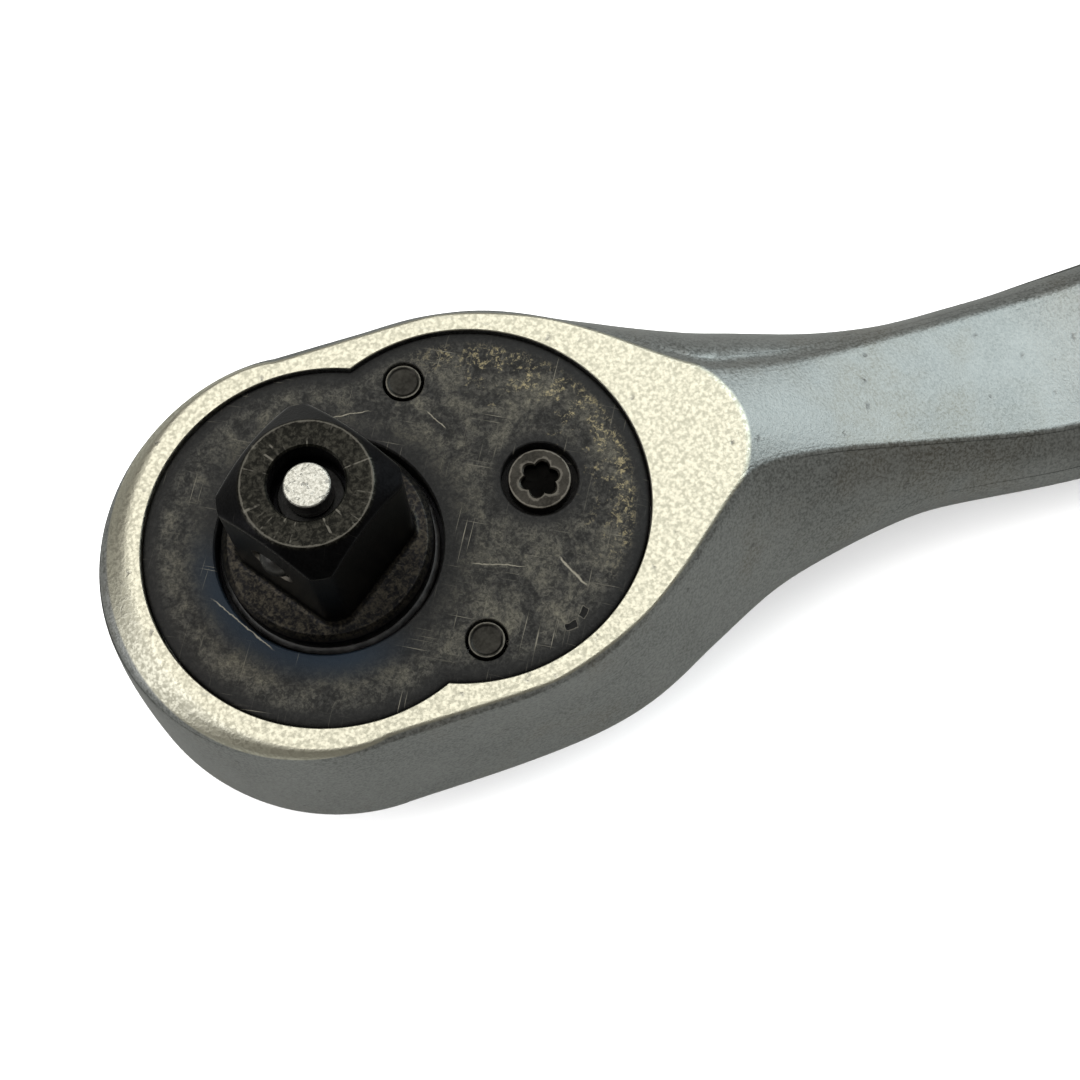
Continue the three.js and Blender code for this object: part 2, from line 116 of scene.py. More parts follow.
def soft_box(name, place, aim, size, power, color):
    lamp = bpy.data.lights.new(name, "AREA")
    lamp.shape = "RECTANGLE"
    lamp.size, lamp.size_y = size
    lamp.energy = power
    lamp.color = color
    light = bpy.data.objects.new(name, lamp)
    light.location = place
    light.rotation_euler = (Vector(aim) - Vector(place)).to_track_quat("-Z", "Y").to_euler()
    bpy.context.scene.collection.objects.link(light)


soft_box("overhead", (0.0, 0.35, 0.9), (0.02, 0, 0.02), (1.1, 0.9), 5.5, (1, 0.98, 0.93))
soft_box("butt_end", (0.9, 0.35, 0.7), (0.05, 0, 0.02), (0.8, 0.8), 6.3, (0.86, 0.97, 1))
soft_box("nose_fill", (-0.85, 0.0, 0.7), (0, 0, 0.02), (0.6, 1.1), 4, (1, 1, 1))

# ------------------------------------------------------------------ forging: head, neck and handle
# One drop-forged chrome vanadium bar, satin plated: a flat-faced pear of a head with flaring
# walls, its rim face ground, a neck that falls away from it in a blunt arrow tip, and a flat
# handle with a long facet on each face, round sides and a half-round butt.
head_thickness = 16.4
head_radius = 16.4
butt_radius = 9
handle_end = 166
arrow_tip = 30.5                        # where the ground rim face ends and the neck facet starts
arrow_depth = 1.7                       # how far the ridge of the arrow runs back at its corners


def stations(*pairs):
    """A smooth curve through (along, value) stations."""
    at, value = np.array(pairs, dtype=float).T
    last = len(at) - 1
    before = (np.arange(last + 1) - 1).clip(0)
    after = (np.arange(last + 1) + 1).clip(max=last)
    slope = (value[after] - value[before]) / (at[after] - at[before])

    def read(x):
        x = np.clip(x, at[0], at[-1])
        i = np.clip(np.searchsorted(at, x, side="right") - 1, 0, last - 1)
        span = at[i + 1] - at[i]
        t = (x - at[i]) / span
        u = 1 - t
        ends = value[i] * u * u * (1 + 2 * t) + value[i + 1] * t * t * (3 - 2 * t)
        return ends + (slope[i] * u - slope[i + 1] * t) * span * t * u
    return read


def smoothstep(low, high, x):
    t = np.clip((np.asarray(x, dtype=float) - low) / (high - low), 0, 1)
    return t * t * (3 - 2 * t)


face_half = stations((0, 14.29), (11.3, 14.29), (13.6, 13.88), (16.5, 12.92), (19.6, 11.52), (22.7, 9.43),
                     (25.8, 6.89), (28.6, 4.72), (30.8, 3.81), (36.3, 3.54), (45.4, 4.35), (55.3, 5.26),
                     (77.1, 5.8), (113.4, 6.35), (157, 5.8))
edge_half = stations((0, 14.85), (6, 14.8), (11.3, 14.69), (16.5, 13.42), (22.7, 9.98), (28.6, 5.35),
                     (30.8, 4.44), (36.3, 4.17), (45.4, 4.99), (55.3, 5.9), (77.1, 6.44), (113.4, 6.98),
                     (157, 6.44))
side_half = stations((0, head_radius), (9.1, 16.33), (15.4, 15.87), (20, 14.78), (25.4, 12.34),
                     (30.8, 9.98), (36.3, 8.62), (41.7, 7.75), (45.4, 7.53), (52.6, 7.94), (59, 8.34),
                     (81.6, 9.25), (113.4, 9.8), (157, butt_radius))
facet_level = stations((20, 4.3), (arrow_tip, 0), (32.7, -0.95), (39, -3.72), (45.4, -6.17),
                       (50.8, -8.05), (56.2, -9.45), (63.5, -10.1), (80, -9.9), (113.4, -9.1), (157, -9.43))
side_level = stations((0, -13.15), (15.4, -12.24), (27.2, -9.98), (41.7, -10.16), (49, -11.79),
                      (56.2, -13.06), (157, -13.24))
back_level = stations((0, -head_thickness), (40.8, -16.33), (56.2, -17.23), (113.4, -17.87), (157, -17.14))
back_half = stations((0, 13.61), (9.1, 13.61), (20, 11.43), (30.8, 5.9), (41.7, 4.17), (55.3, 5.26),
                     (113.4, 6.35), (157, 5.8))


def face_level(x, across):
    """The rim plane and the crowned neck facet, met in a slightly rounded ridge."""
    crown = 0.033 - 0.027 * smoothstep(30, 44, x)
    facet = facet_level(x) - crown * np.minimum(across, 5) ** 2
    ridge = 0.09
    rim_share = np.clip(0.5 + facet / (2 * ridge), 0, 1)
    return facet * (1 - rim_share) - ridge * rim_share * (1 - rim_share)


def soft_corner(before, corner, after, reach, steps):
    """Points round a corner, reach away from it on each side, with one more to hold the flats."""
    back = before - corner
    ahead = after - corner
    back = back / np.linalg.norm(back, axis=-1, keepdims=True)
    ahead = ahead / np.linalg.norm(ahead, axis=-1, keepdims=True)
    enter, leave = corner + back * reach, corner + ahead * reach
    bend = [enter * (1 - t) ** 2 + 2 * corner * t * (1 - t) + leave * t ** 2
            for t in np.linspace(0, 1, steps)]
    return [corner + back * reach * 1.3, *bend, corner + ahead * reach * 1.3]


def half_section(u, share, far):
    """Rows of (along, across, level) from the middle of the face round to the middle of the back.
    share is 0 along the sides and grows to 1 at the nose; far is the side away from the viewer."""
    recede = arrow_depth * smoothstep(23, arrow_tip, u) * (1 - smoothstep(arrow_tip, 40, u))
    x = u - recede
    swell = 1.8 * share * (1 - share)
    bevel = share ** 3
    slim = smoothstep(26, 33, x)            # 0 on the head, 1 on the neck and handle
    out, down, shift = (0.85, 0.6, 0.35) if far else (0.4, 0.42, -0.08)
    face = face_half(x) + swell + shift * slim
    corner = np.stack([face, face_level(x, face)], 1)
    inner = np.stack([face - 1, face_level(x, face - 1)], 1)
    edge = np.stack([edge_half(x) + 0.6 * swell + 1.5 * bevel, corner[:, 1] - 0.45 - 0.9 * bevel], 1)
    edge += (corner + np.array([out, -down]) - edge) * slim[:, None]
    side = np.stack([side_half(x) + 0.55 * share, side_level(x)], 1)
    back = np.stack([back_half(x), back_level(x)], 1)
    softness = (smoothstep(22, 34, x) * (1 - smoothstep(120, 150, x)))[:, None]
    reach = 0.14 + (0.28 if far else 0.13) * softness
    wide = reach + 0.75 * bevel[:, None]
    fullness = 0.95 - 0.65 * smoothstep(32, 46, x) if far else 0.36
    fullness = fullness + (1 - fullness) * smoothstep(60, 110, x)
    roundness = (smoothstep(11, 33, x) * fullness + 0.8 * share)[:, None]

    def upper_wall(t):
        arc = t * math.pi / 2
        across = t + (math.sin(arc) - t) * roundness
        down = t + (1 - math.cos(arc) - t) * roundness
        return edge + (side - edge) * np.concatenate([across, down], 1)

    def lower_wall(t):
        arc = t * math.pi / 2
        return np.stack([back[:, 0] + (side[:, 0] - back[:, 0]) * math.cos(arc),
                         side[:, 1] + (back[:, 1] - side[:, 1]) * math.sin(arc)], 1)

    rows = []
    hold = corner[:, 0] - wide[:, 0] * 1.3
    for t in 1 - (1 - np.linspace(0, 1, 26)[:-1]) ** 1.4:
        across = hold * t
        along = u - recede * t ** 2
        rows.append(np.stack([along, across, face_level(along, across)], 1))
    flank = soft_corner(inner, corner, edge, wide, 7)
    flank += soft_corner(corner, edge, upper_wall(0.08), np.minimum(wide, 0.45), 5)
    flank += [upper_wall(t) for t in np.linspace(0.06, 0.86, 15)]
    flank += soft_corner(upper_wall(0.86), side, lower_wall(0.16), 0.4 + 0.6 * slim[:, None], 7)[1:-1]
    flank += [lower_wall(t) for t in np.linspace(0.16, 1, 13)]
    flank += [back * np.array([1 - t, 1]) for t in np.linspace(0.15, 1, 8)]
    rows += [np.column_stack([x, points]) for points in flank]
    return np.stack(rows, 1)


def piece(name, vertices, faces):
    """A mesh object from millimetre vertices counted from the rim face; doubles merged, faces outward."""
    mesh = bpy.data.meshes.new(name)
    made = bmesh.new()
    points = [made.verts.new((x * MM, y * MM, (z + rim) * MM)) for x, y, z in vertices]
    for face in faces:
        made.faces.new([points[i] for i in face])
    bmesh.ops.remove_doubles(made, verts=made.verts, dist=2e-7)
    bmesh.ops.dissolve_degenerate(made, edges=made.edges, dist=1e-7)
    bmesh.ops.recalc_face_normals(made, faces=made.faces)
    made.to_mesh(mesh)
    made.free()
    obj = bpy.data.objects.new(name, mesh)
    bpy.context.scene.collection.objects.link(obj)
    return obj


def quads(rows, columns, wrap_rows, wrap_columns):
    """Faces of a grid of points, closed round either way."""
    i, j = np.meshgrid(np.arange(rows - (not wrap_rows)), np.arange(columns - (not wrap_columns)),
                       indexing="ij")
    below, beside = (i + 1) % rows, (j + 1) % columns
    return np.stack([i * columns + j, i * columns + beside, below * columns + beside, below * columns + j],
                    -1).reshape(-1, 4).tolist()


def forging():
    butt = handle_end - butt_radius
    along = np.concatenate([np.arange(0, 22, 0.8), np.arange(22, 29.4, 0.35), np.arange(29.4, 31.6, 0.09),
                            np.arange(31.6, 58, 0.8), np.linspace(58, butt, 50)])
    nose = np.linspace(180, 90, 56)[:-1]
    tail = np.linspace(90, 0, 25)
    u = np.concatenate([nose * 0, along, tail[1:] * 0 + butt])
    turn = np.radians(np.concatenate([nose, along * 0 + 90, tail[1:]]))
    share = np.where(turn > math.pi / 2, np.sin(np.clip(turn - math.pi / 2, 0, None)), 0) ** 0.8
    halves = []
    for side in (1, -1):
        grid = half_section(u, share, side > 0)
        x = grid[..., 0] + grid[..., 1] * np.cos(turn)[:, None]
        y = side * grid[..., 1] * np.sin(turn)[:, None]
        halves.append(np.stack([x, y, grid[..., 2]], -1))
    rings = np.concatenate([halves[0], halves[1][1:-1][::-1]])
    rows, columns = rings.shape[:2]
    return piece("forged_body", rings.reshape(-1, 3), quads(rows, columns, True, False))


def turned(name, profile, sides=96, centre=(0, 0), closed=False):
    """A piece turned round an upright axis from (radius, level) points, which start and end on the
    axis or close on themselves. A radius may be an array, one for each direction round the axis."""
    angle = np.linspace(0, 2 * math.pi, sides, endpoint=False)
    rings = []
    for radius, level in profile:
        radius = radius + np.zeros(sides)
        rings.append(np.stack([centre[0] + radius * np.cos(angle), centre[1] + radius * np.sin(angle),
                               np.full(sides, float(level))], -1))
    grid = np.array(rings)
    return piece(name, grid.reshape(-1, 3), quads(len(profile), sides, closed, True))


def softened(points, reach, steps=4, closed=False):
    """A turned profile or an outline with its corners rounded; reach may be one per corner."""
    points = np.array(points, dtype=float)
    count = len(points)
    reach = np.broadcast_to(reach, (count,))
    out = []
    for i, corner in enumerate(points):
        if reach[i] == 0 or (not closed and i in (0, count - 1)):
            out.append(corner)
            continue
        out += soft_corner(points[i - 1], corner, points[(i + 1) % count], reach[i], steps)
    return out


def applied(obj, modifier):
    """Makes a modifier's result the piece's own mesh."""
    seen = bpy.context.evaluated_depsgraph_get()
    mesh = bpy.data.meshes.new_from_object(obj.evaluated_get(seen), depsgraph=seen)
    obj.modifiers.remove(modifier)
    obj.data = mesh
    return obj


def fitted(obj, operation, *tools):
    """Joins tools to a piece or cuts them out of it."""
    for tool in tools:
        fit = obj.modifiers.new("fit", "BOOLEAN")
        fit.operation = operation
        fit.object = tool
        fit.solver = "MANIFOLD"
        applied(obj, fit)
        bpy.data.objects.remove(tool)
    return obj


def joined(obj, *tools):
    return fitted(obj, "UNION", *tools)


def cut(obj, *tools):
    return fitted(obj, "DIFFERENCE", *tools)


def hole(radius, low, high, centre=(0, 0), chamfer=0, sides=64):
    """A tool for a round hole; a chamfer opens its upper end."""
    profile = [(0, low), (radius, low), (radius, high), (0, high)]
    if chamfer:
        profile[2:] = [(radius, high - chamfer), (radius + chamfer, high), (radius + chamfer, high + 1),
                       (0, high + 1)]
    return turned("tool", profile, sides, centre)


def finished(obj, material, body, slot, *nodes, sharp=28):
    """Shades a piece, gives it its material and puts it in place of the solids it stands for."""
    mesh = obj.data
    mesh.materials.clear()
    mesh.materials.append(material)
    for polygon in mesh.polygons:
        polygon.use_smooth = True
    mesh.set_sharp_from_angle(angle=math.radians(sharp))
    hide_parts(*nodes)
    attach(obj, body)


def node(tree, kind, *inputs, **settings):
    """Adds a node. Its live inputs, in order, are values or other nodes' outputs; None keeps a default."""
    made = tree.nodes.new(kind)
    for key, value in settings.items():
        setattr(made, key, value)
    for socket, value in zip([s for s in made.inputs if s.enabled], inputs):
        if isinstance(value, bpy.types.NodeSocket):
            tree.links.new(value, socket)
        elif value is not None:
            socket.default_value = value
    return next(s for s in made.outputs if s.enabled)


def sums(tree, operation, *inputs):
    return node(tree, "ShaderNodeMath", *inputs, operation=operation)


def times(tree, first, second):
    return sums(tree, "MULTIPLY", first, second)


def off_by(tree, value, target):
    """How far a value is from a target, either way."""
    return sums(tree, "ABSOLUTE", sums(tree, "SUBTRACT", value, target))


def vector(tree, operation, *inputs):
    return node(tree, "ShaderNodeVectorMath", *inputs, operation=operation)


def eased(tree, value, low, high, start=0.0, end=1.0):
    """A value between low and high turned into a smooth mask from start to end."""
    return node(tree, "ShaderNodeMapRange", value, low, high, start, end, interpolation_type="SMOOTHSTEP")


def noise(tree, place, per_mm, detail=2.0, rough=0.5, warp=0.0):
    return node(tree, "ShaderNodeTexNoise", place, per_mm, detail, rough, 2.0, warp)


def blend(tree, factor, first, second):
    """Colours or numbers mixed by a mask."""
    plain_number = isinstance(first, (int, float)) or getattr(first, "type", "") == "VALUE"
    return node(tree, "ShaderNodeMix", factor, first, second, data_type="FLOAT" if plain_number else "RGBA")


def rgb(*color):
    return (*color, 1)


def group(name, inputs, outputs):
    """A shader node group's tree with its named input and output sockets."""
    tree = bpy.data.node_groups.new(name, "ShaderNodeTree")
    for label, kind, value in inputs:
        socket = tree.interface.new_socket(label, in_out="INPUT", socket_type="NodeSocket" + kind)
        if value is not None:
            socket.default_value = value
    for label in outputs:
        tree.interface.new_socket(label, in_out="OUTPUT", socket_type="NodeSocketFloat")
    return tree, tree.nodes.new("NodeGroupInput").outputs, tree.nodes.new("NodeGroupOutput").inputs


def use(tree, made, output, *inputs):
    """Places a node group in a tree and gives back one of its outputs."""
    placed = tree.nodes.new("ShaderNodeGroup")
    placed.node_tree = made
    for socket, value in zip(placed.inputs, inputs):
        if isinstance(value, bpy.types.NodeSocket):
            tree.links.new(value, socket)
        else:
            socket.default_value = value
    return placed.outputs[output]


# fine scratches: two families of stretched noise, thinned to lines and broken up by a slow patchiness
scratches, given, result = group("fine_scratches", [
    ("Place", "Vector", None), ("Length", "Float", 4.0), ("Width", "Float", 0.06), ("Amount", "Float", 0.3)],
    ["Mask"])
lines = []
for turn in (0.5, 2.1):
    along = node(scratches, "ShaderNodeVectorRotate", given["Place"], None, (0, 0, 1), turn)
    scale = node(scratches, "ShaderNodeCombineXYZ", sums(scratches, "DIVIDE", 1, given["Length"]),
                 sums(scratches, "DIVIDE", 1, given["Width"]), 1.0)
    streaks = noise(scratches, vector(scratches, "MULTIPLY", along, scale), 0.5, 1)
    lines.append(eased(scratches, streaks, 0.68, 0.76))
patches = noise(scratches, given["Place"], 0.3, 2)
kept = eased(scratches, patches, sums(scratches, "SUBTRACT", 0.75, given["Amount"]), 0.8)
scratches.links.new(times(scratches, sums(scratches, "MAXIMUM", *lines), kept), result["Mask"])

# bright edge band, used both for worn edges and for painted edge highlights: strongest on the edge, broken
# into flecks as it fades over its width
wear_and_highlight_edge, given, result = group("edge_wear_and_highlight", [
    ("Distance", "Float", 1.0), ("Width", "Float", 0.3), ("Place", "Vector", None), ("Fleck", "Float", 3.0),
    ("Breakup", "Float", 1.0)], ["Mask"])
fleck = sums(wear_and_highlight_edge, "SUBTRACT", noise(wear_and_highlight_edge, given["Place"], given["Fleck"], 4, 0.65), 0.5)
reach = sums(wear_and_highlight_edge, "DIVIDE", given["Distance"], given["Width"])
broken = sums(wear_and_highlight_edge, "MULTIPLY_ADD", times(wear_and_highlight_edge, fleck, given["Breakup"]), 3.0, reach)
wear_and_highlight_edge.links.new(eased(wear_and_highlight_edge, broken, 1.0, 0.3), result["Mask"])

# speckle: the sparkle of blasted or ground metal, a sharp grain over a softer one
speckle, given, result = group("metal_grain", [("Place", "Vector", None), ("Size", "Float", 0.3)], ["Grain"])
per_mm = sums(speckle, "DIVIDE", 1, given["Size"])
coarse = noise(speckle, given["Place"], per_mm, 2, 0.6)
crisp = node(speckle, "ShaderNodeTexVoronoi", given["Place"], times(speckle, per_mm, 1.4))
grains = sums(speckle, "MULTIPLY_ADD", crisp, -0.35, sums(speckle, "ADD", coarse, 0.14))
speckle.links.new(eased(speckle, grains, 0.2, 0.7), result["Grain"])

# nicks: sparse dents, each a small pit, seldom two together
nicks, given, result = group("nicks", [("Place", "Vector", None), ("Spacing", "Float", 5.0),
                             ("Radius", "Float", 0.2)], ["Pit"])
bent = vector(nicks, "ADD", given["Place"], noise(nicks, given["Place"], 2.0))
cells = node(nicks, "ShaderNodeTexVoronoi", bent, sums(nicks, "DIVIDE", 1, given["Spacing"]))
away = times(nicks, cells, given["Spacing"])
nicks.links.new(eased(nicks, away, given["Radius"], 0.0), result["Pit"])


def from_axis(tree, place, x=0.0, y=0.0):
    """Distance in mm from an upright line."""
    flat = vector(tree, "MULTIPLY_ADD", place, (1, 1, 0), (-x, -y, 0))
    return vector(tree, "LENGTH", flat)


def axes(tree, place):
    """The x, y and z of a place."""
    split = tree.nodes.new("ShaderNodeSeparateXYZ")
    tree.links.new(place, split.inputs[0])
    return split.outputs


def level(tree, place):
    return axes(tree, place)[2]


def bumped(tree, shader, height, strength, depth):
    """Relief on a surface, depth in mm."""
    made = tree.nodes.new("ShaderNodeBump")
    made.inputs["Strength"].default_value = strength
    made.inputs["Distance"].default_value = depth * MM
    tree.links.new(height, made.inputs["Height"])
    tree.links.new(made.outputs["Normal"], shader.inputs["Normal"])


def surface(name):
    """A new material: its tree, its shader, and the place on the piece in mm from the rim face."""
    made = bpy.data.materials.new(name)
    made.use_nodes = True
    tree = made.node_tree
    coords = tree.nodes.new("ShaderNodeTexCoord")
    place = vector(tree, "MULTIPLY_ADD", coords.outputs["Object"], (1 / MM,) * 3, (0, 0, -rim))
    return made, tree, tree.nodes["Principled BSDF"], place


def satin_chrome(name, ground_level):
    """Satin plate over blasted steel, with a ground face from ground_level up; toward the nose its bright
    colour is carried down onto the bevel as a painted highlight.
    """
    made, tree, shader, place = surface(name)
    grain = use(tree, speckle, "Grain", place, 0.34)
    fine = use(tree, speckle, "Grain", place, 0.24)
    cloud = eased(tree, noise(tree, place, 0.16, 5, 0.6), 0.35, 0.65)
    stain = eased(tree, noise(tree, vector(tree, "ADD", place, (7, 3, 1)), 0.11, 4, 0.6), 0.5, 0.72)
    along, _, up = axes(tree, place)
    # painted highlight: toward the nose the bright ground colour runs down onto the bevel
    nose = eased(tree, along, 2, -11, 0, 0.8)
    ground = eased(tree, sums(tree, "ADD", up, nose), ground_level - 0.16, ground_level - 0.03)
    scratched = use(tree, scratches, "Mask", place, 5, 0.07, 0.3)
    pits = use(tree, nicks, "Pit", place, 2.5, 0.35)
    forged = blend(tree, cloud, rgb(0.17, 0.178, 0.173), rgb(0.22, 0.228, 0.223))
    forged = blend(tree, times(tree, stain, 0.6), forged, rgb(0.17, 0.155, 0.125))
    forged = blend(tree, times(tree, fine, 0.6), forged, rgb(0.43, 0.445, 0.435))
    cream = blend(tree, grain, rgb(0.455, 0.442, 0.358), rgb(0.58, 0.566, 0.47))
    color = blend(tree, ground, forged, cream)
    color = blend(tree, times(tree, scratched, 0.5), color, rgb(0.42, 0.43, 0.42))
    color = blend(tree, times(tree, pits, 0.7), color, rgb(0.1, 0.1, 0.1))
    tree.links.new(color, shader.inputs["Base Color"])
    rough = blend(tree, ground, eased(tree, fine, 0, 1, 0.4, 0.5), eased(tree, grain, 0, 1, 0.5, 0.3))
    tree.links.new(rough, shader.inputs["Roughness"])
    shader.inputs["Metallic"].default_value = 1
    relief = sums(tree, "SUBTRACT", blend(tree, ground, fine, grain), times(tree, pits, 3))
    bumped(tree, shader, relief, 0.4, 0.022)
    return made


lobe_x = 9.91                           # centre of the pawl lobe, from the drive axis
drive_lobe = 13.1                       # radius of the cover plate round the drive axis
pawl_lobe = 13.04                       # and round the pawl lobe's centre
plate_gap = 0.06
plate_thickness = 2
pocket_floor = -11.7
screw_x = 15.41
pin_x, pin_y, pin_radius, pin_clearance = 8.38, 10.04, 1.28, 0.22
neck_radius = 6.1
click_x = -8.5
click_radius = 0.8

recess_floor = plate_top - plate_thickness - 0.25
chamfer = 0.06
drive_pocket, pawl_pocket, screw_post = 10.6, 12.5, 2.75
screw_hole = 1.5
body = cut(forging(),
           joined(hole(drive_lobe + plate_gap, recess_floor, 0, chamfer=chamfer, sides=192),
                  hole(pawl_lobe + plate_gap, recess_floor, 0, (lobe_x, 0), chamfer, 192)),
           cut(joined(hole(drive_pocket, pocket_floor, -1, sides=128),
                      hole(pawl_pocket, pocket_floor, -1, (lobe_x, 0), sides=128)),
               hole(screw_post, pocket_floor - 1, 1, (screw_x, 0))),
           hole(screw_hole, -10, 1, (screw_x, 0)),
           hole(pin_radius + pin_clearance, -14.4, 0, (pin_x, pin_y)),
           hole(pin_radius + pin_clearance, -14.4, 0, (pin_x, -pin_y)),
           turned("tool", [(0, -25), (neck_radius + 0.8, -25), (neck_radius + 0.8, -head_thickness),
                           (neck_radius + 0.3, -head_thickness + 0.5), (neck_radius + 0.3, 0), (0, 0)]),
           hole(click_radius + 0.25, -25, -13, (click_x, 0)))

finished(body, satin_chrome("satin_chrome_forging", 0.0), "frame", "satin_chrome", "body")

# ------------------------------------------------------------------ cover plate
# A fine-blanked steel plate, its upper edge rolled over by the press, blackened and oiled.
# It drops into the recess in the head and holds the pawls and the drive in.
plate_edge = 0.85


def disc(radius, low, high, centre=(0, 0), edge=0.1, sides=192, drop=0.0):
    """A turned disc with rounded edges; drop is how far its upper edge rolls over."""
    crown = [(radius - plate_edge * 1.2, high), (radius - plate_edge * 0.7, high - drop * 0.14),
             (radius - plate_edge * 0.3, high - drop * 0.5), (radius - 0.06, high - drop)] if drop else []
    profile = [(0, low), (radius, low), *(crown[::-1] or [(radius, high)]), (0, high)]
    return turned("disc", softened(profile, edge), sides, centre)


screw_head, counterbore, drive_opening = 2.25, 2.75, 8
plate = joined(disc(drive_lobe, plate_top - plate_thickness, plate_top, drop=0.3),
               disc(pawl_lobe, plate_top - plate_thickness, plate_top, (lobe_x, 0), drop=0.3))
plate = cut(plate, hole(drive_opening, -5, plate_top, chamfer=0.12, sides=160),
            hole(screw_hole, -5, 1, (screw_x, 0)),
            hole(counterbore, plate_top - 1.4, plate_top, (screw_x, 0), 0.08, 96),
            hole(pin_radius + pin_clearance, -5, plate_top, (pin_x, pin_y), 0.06),
            hole(pin_radius + pin_clearance, -5, plate_top, (pin_x, -pin_y), 0.06))
plate.name = "cover_plate_visual"


def line_scratch(tree, place, start, end, width):
    """One scratch between two points of the plate's face, in mm."""
    length = math.dist(start, end)
    turn = math.atan2(end[1] - start[1], end[0] - start[0])
    moved = vector(tree, "ADD", place, (-start[0], -start[1], 0))
    turned_in = node(tree, "ShaderNodeVectorRotate", moved, None, (0, 0, 1), -turn)
    sway = times(tree, sums(tree, "SUBTRACT", noise(tree, place, 1.6, 4), 0.5), 0.35)
    ragged = vector(tree, "ADD", turned_in, sway)
    along, across, _ = axes(tree, ragged)
    thin = eased(tree, sums(tree, "ABSOLUTE", across), width, width * 0.3)
    middle = off_by(tree, along, length / 2)
    return times(tree, thin, eased(tree, middle, length / 2, length * 0.35))


def black_phosphate():
    """Phosphate blackening: fine fuzzy mottling, brassy rub marks toward the handle, and painted shade along
    its borders and round the screw and drive holes.
    """
    made, tree, shader, place = surface("black_phosphate_plate")
    from_drive = from_axis(tree, place)
    from_lobe = from_axis(tree, place, lobe_x)
    from_screw = from_axis(tree, place, screw_x)
    inside = sums(tree, "MAXIMUM", sums(tree, "SUBTRACT", drive_lobe, from_drive),
                  sums(tree, "SUBTRACT", pawl_lobe, from_lobe))
    fuzz = eased(tree, noise(tree, place, 3.4, 5, 0.72, 0.6), 0.38, 0.68)
    smear = noise(tree, place, 0.4, 8, 0.7, 0.5)
    patch = eased(tree, smear, 0.4, 0.72)
    keep = times(tree, eased(tree, inside, 0.5, 2.2), eased(tree, from_screw, 2.9, 4.6))
    keep = times(tree, keep, eased(tree, from_drive, 8.2, 9.8))
    rubbed = times(tree, times(tree, patch, keep), sums(tree, "MULTIPLY_ADD", fuzz, 0.75, 0.25))
    along, across, _ = axes(tree, place)
    handle_side = eased(tree, sums(tree, "MULTIPLY_ADD", across, 0.45, along), 13, 20)
    rim_wear = use(tree, wear_and_highlight_edge, "Mask", inside, 3.2, place, 0.9, 2.2)
    band = times(tree, rim_wear, eased(tree, inside, 0.75, 1.5))
    brass = times(tree, times(tree, band, handle_side), eased(tree, fuzz, 0.35, 1.0))
    color = blend(tree, fuzz, rgb(0.004, 0.004, 0.0036), rgb(0.03, 0.029, 0.026))
    color = blend(tree, rubbed, color, rgb(0.16, 0.152, 0.123))
    color = blend(tree, brass, color, rgb(0.3, 0.257, 0.155))
    # painted shade: darker round the screw's counterbore and the drive opening, and along the plate's border
    shaded = sums(tree, "MAXIMUM", times(tree, eased(tree, from_screw, 3.9, 2.9), 0.6),
                  eased(tree, from_drive, 11.5, 8.1, 0, 0.7))
    shaded = sums(tree, "MAXIMUM", shaded, eased(tree, inside, 1.5, 0.55, 0, 0.75))
    color = blend(tree, shaded, color, rgb(0.008, 0.008, 0.008))
    oil = times(tree, eased(tree, from_drive, 10.5, 8.2),
               eased(tree, sums(tree, "ADD", along, across), -3, -10))
    color = blend(tree, times(tree, oil, 0.8), color, rgb(0.006, 0.016, 0.03))
    marks = use(tree, scratches, "Mask", place, 3, 0.06, 0.34)
    for start, end, width in (((14.83, -5.75), (16.21, -8.64), 0.1), ((8.9, -4.4), (12.6, -5.9), 0.05),
                              ((-5.6, -6.4), (-8.9, -1.2), 0.06), ((9.3, 7.4), (10.3, 5.6), 0.05),
                              ((-1.5, 9.6), (5.8, 8.6), 0.05)):
        marks = sums(tree, "MAXIMUM", marks, line_scratch(tree, place, start, end, width))
    color = blend(tree, times(tree, marks, 0.6), color, rgb(0.3, 0.28, 0.22))
    dents = sums(tree, "MAXIMUM", line_scratch(tree, place, (13.7, -10.95), (14.7, -10.8), 0.36),
                 line_scratch(tree, place, (15.0, -10.55), (15.6, -9.9), 0.3))
    burr = eased(tree, dents, 0.0, 0.35)
    color = blend(tree, times(tree, burr, 0.5), color, rgb(0.14, 0.13, 0.105))
    color = blend(tree, eased(tree, dents, 0.35, 0.6), color, rgb(0.001, 0.001, 0.001))
    tree.links.new(color, shader.inputs["Base Color"])
    tree.links.new(sums(tree, "MULTIPLY_ADD", rubbed, -0.16, 0.62), shader.inputs["Roughness"])
    bared = eased(tree, sums(tree, "ADD", rubbed, brass), 0, 0.7, 0.55, 0.95)
    tree.links.new(bared, shader.inputs["Metallic"])
    relief = sums(tree, "MULTIPLY_ADD", dents, -4, sums(tree, "MULTIPLY_ADD", marks, -0.7, fuzz))
    bumped(tree, shader, relief, 0.4, 0.03)
    return made


finished(plate, black_phosphate(), "frame", "black_phosphate", "cover_plate")

# ------------------------------------------------------------------ cover screw
# A small cap screw with a six-lobed recess, sunk in a counterbore and threaded into the post
# in the pocket; its head is blackened and its outer edge rubbed bright by the driver, with a painted
# highlight round the lip of the recess and painted shade inside it.
lobes, lobe_depth, lobes_radius = 6, 0.14, 1.23
screw_seat = plate_top - 1.1


def six_lobed(radius):
    """Radii of round lobes with narrow ribs between them."""
    angle = np.linspace(0, 2 * math.pi, 144, endpoint=False)
    return radius * (1 - lobe_depth + 2 * lobe_depth * np.abs(np.cos(lobes / 2 * angle)))


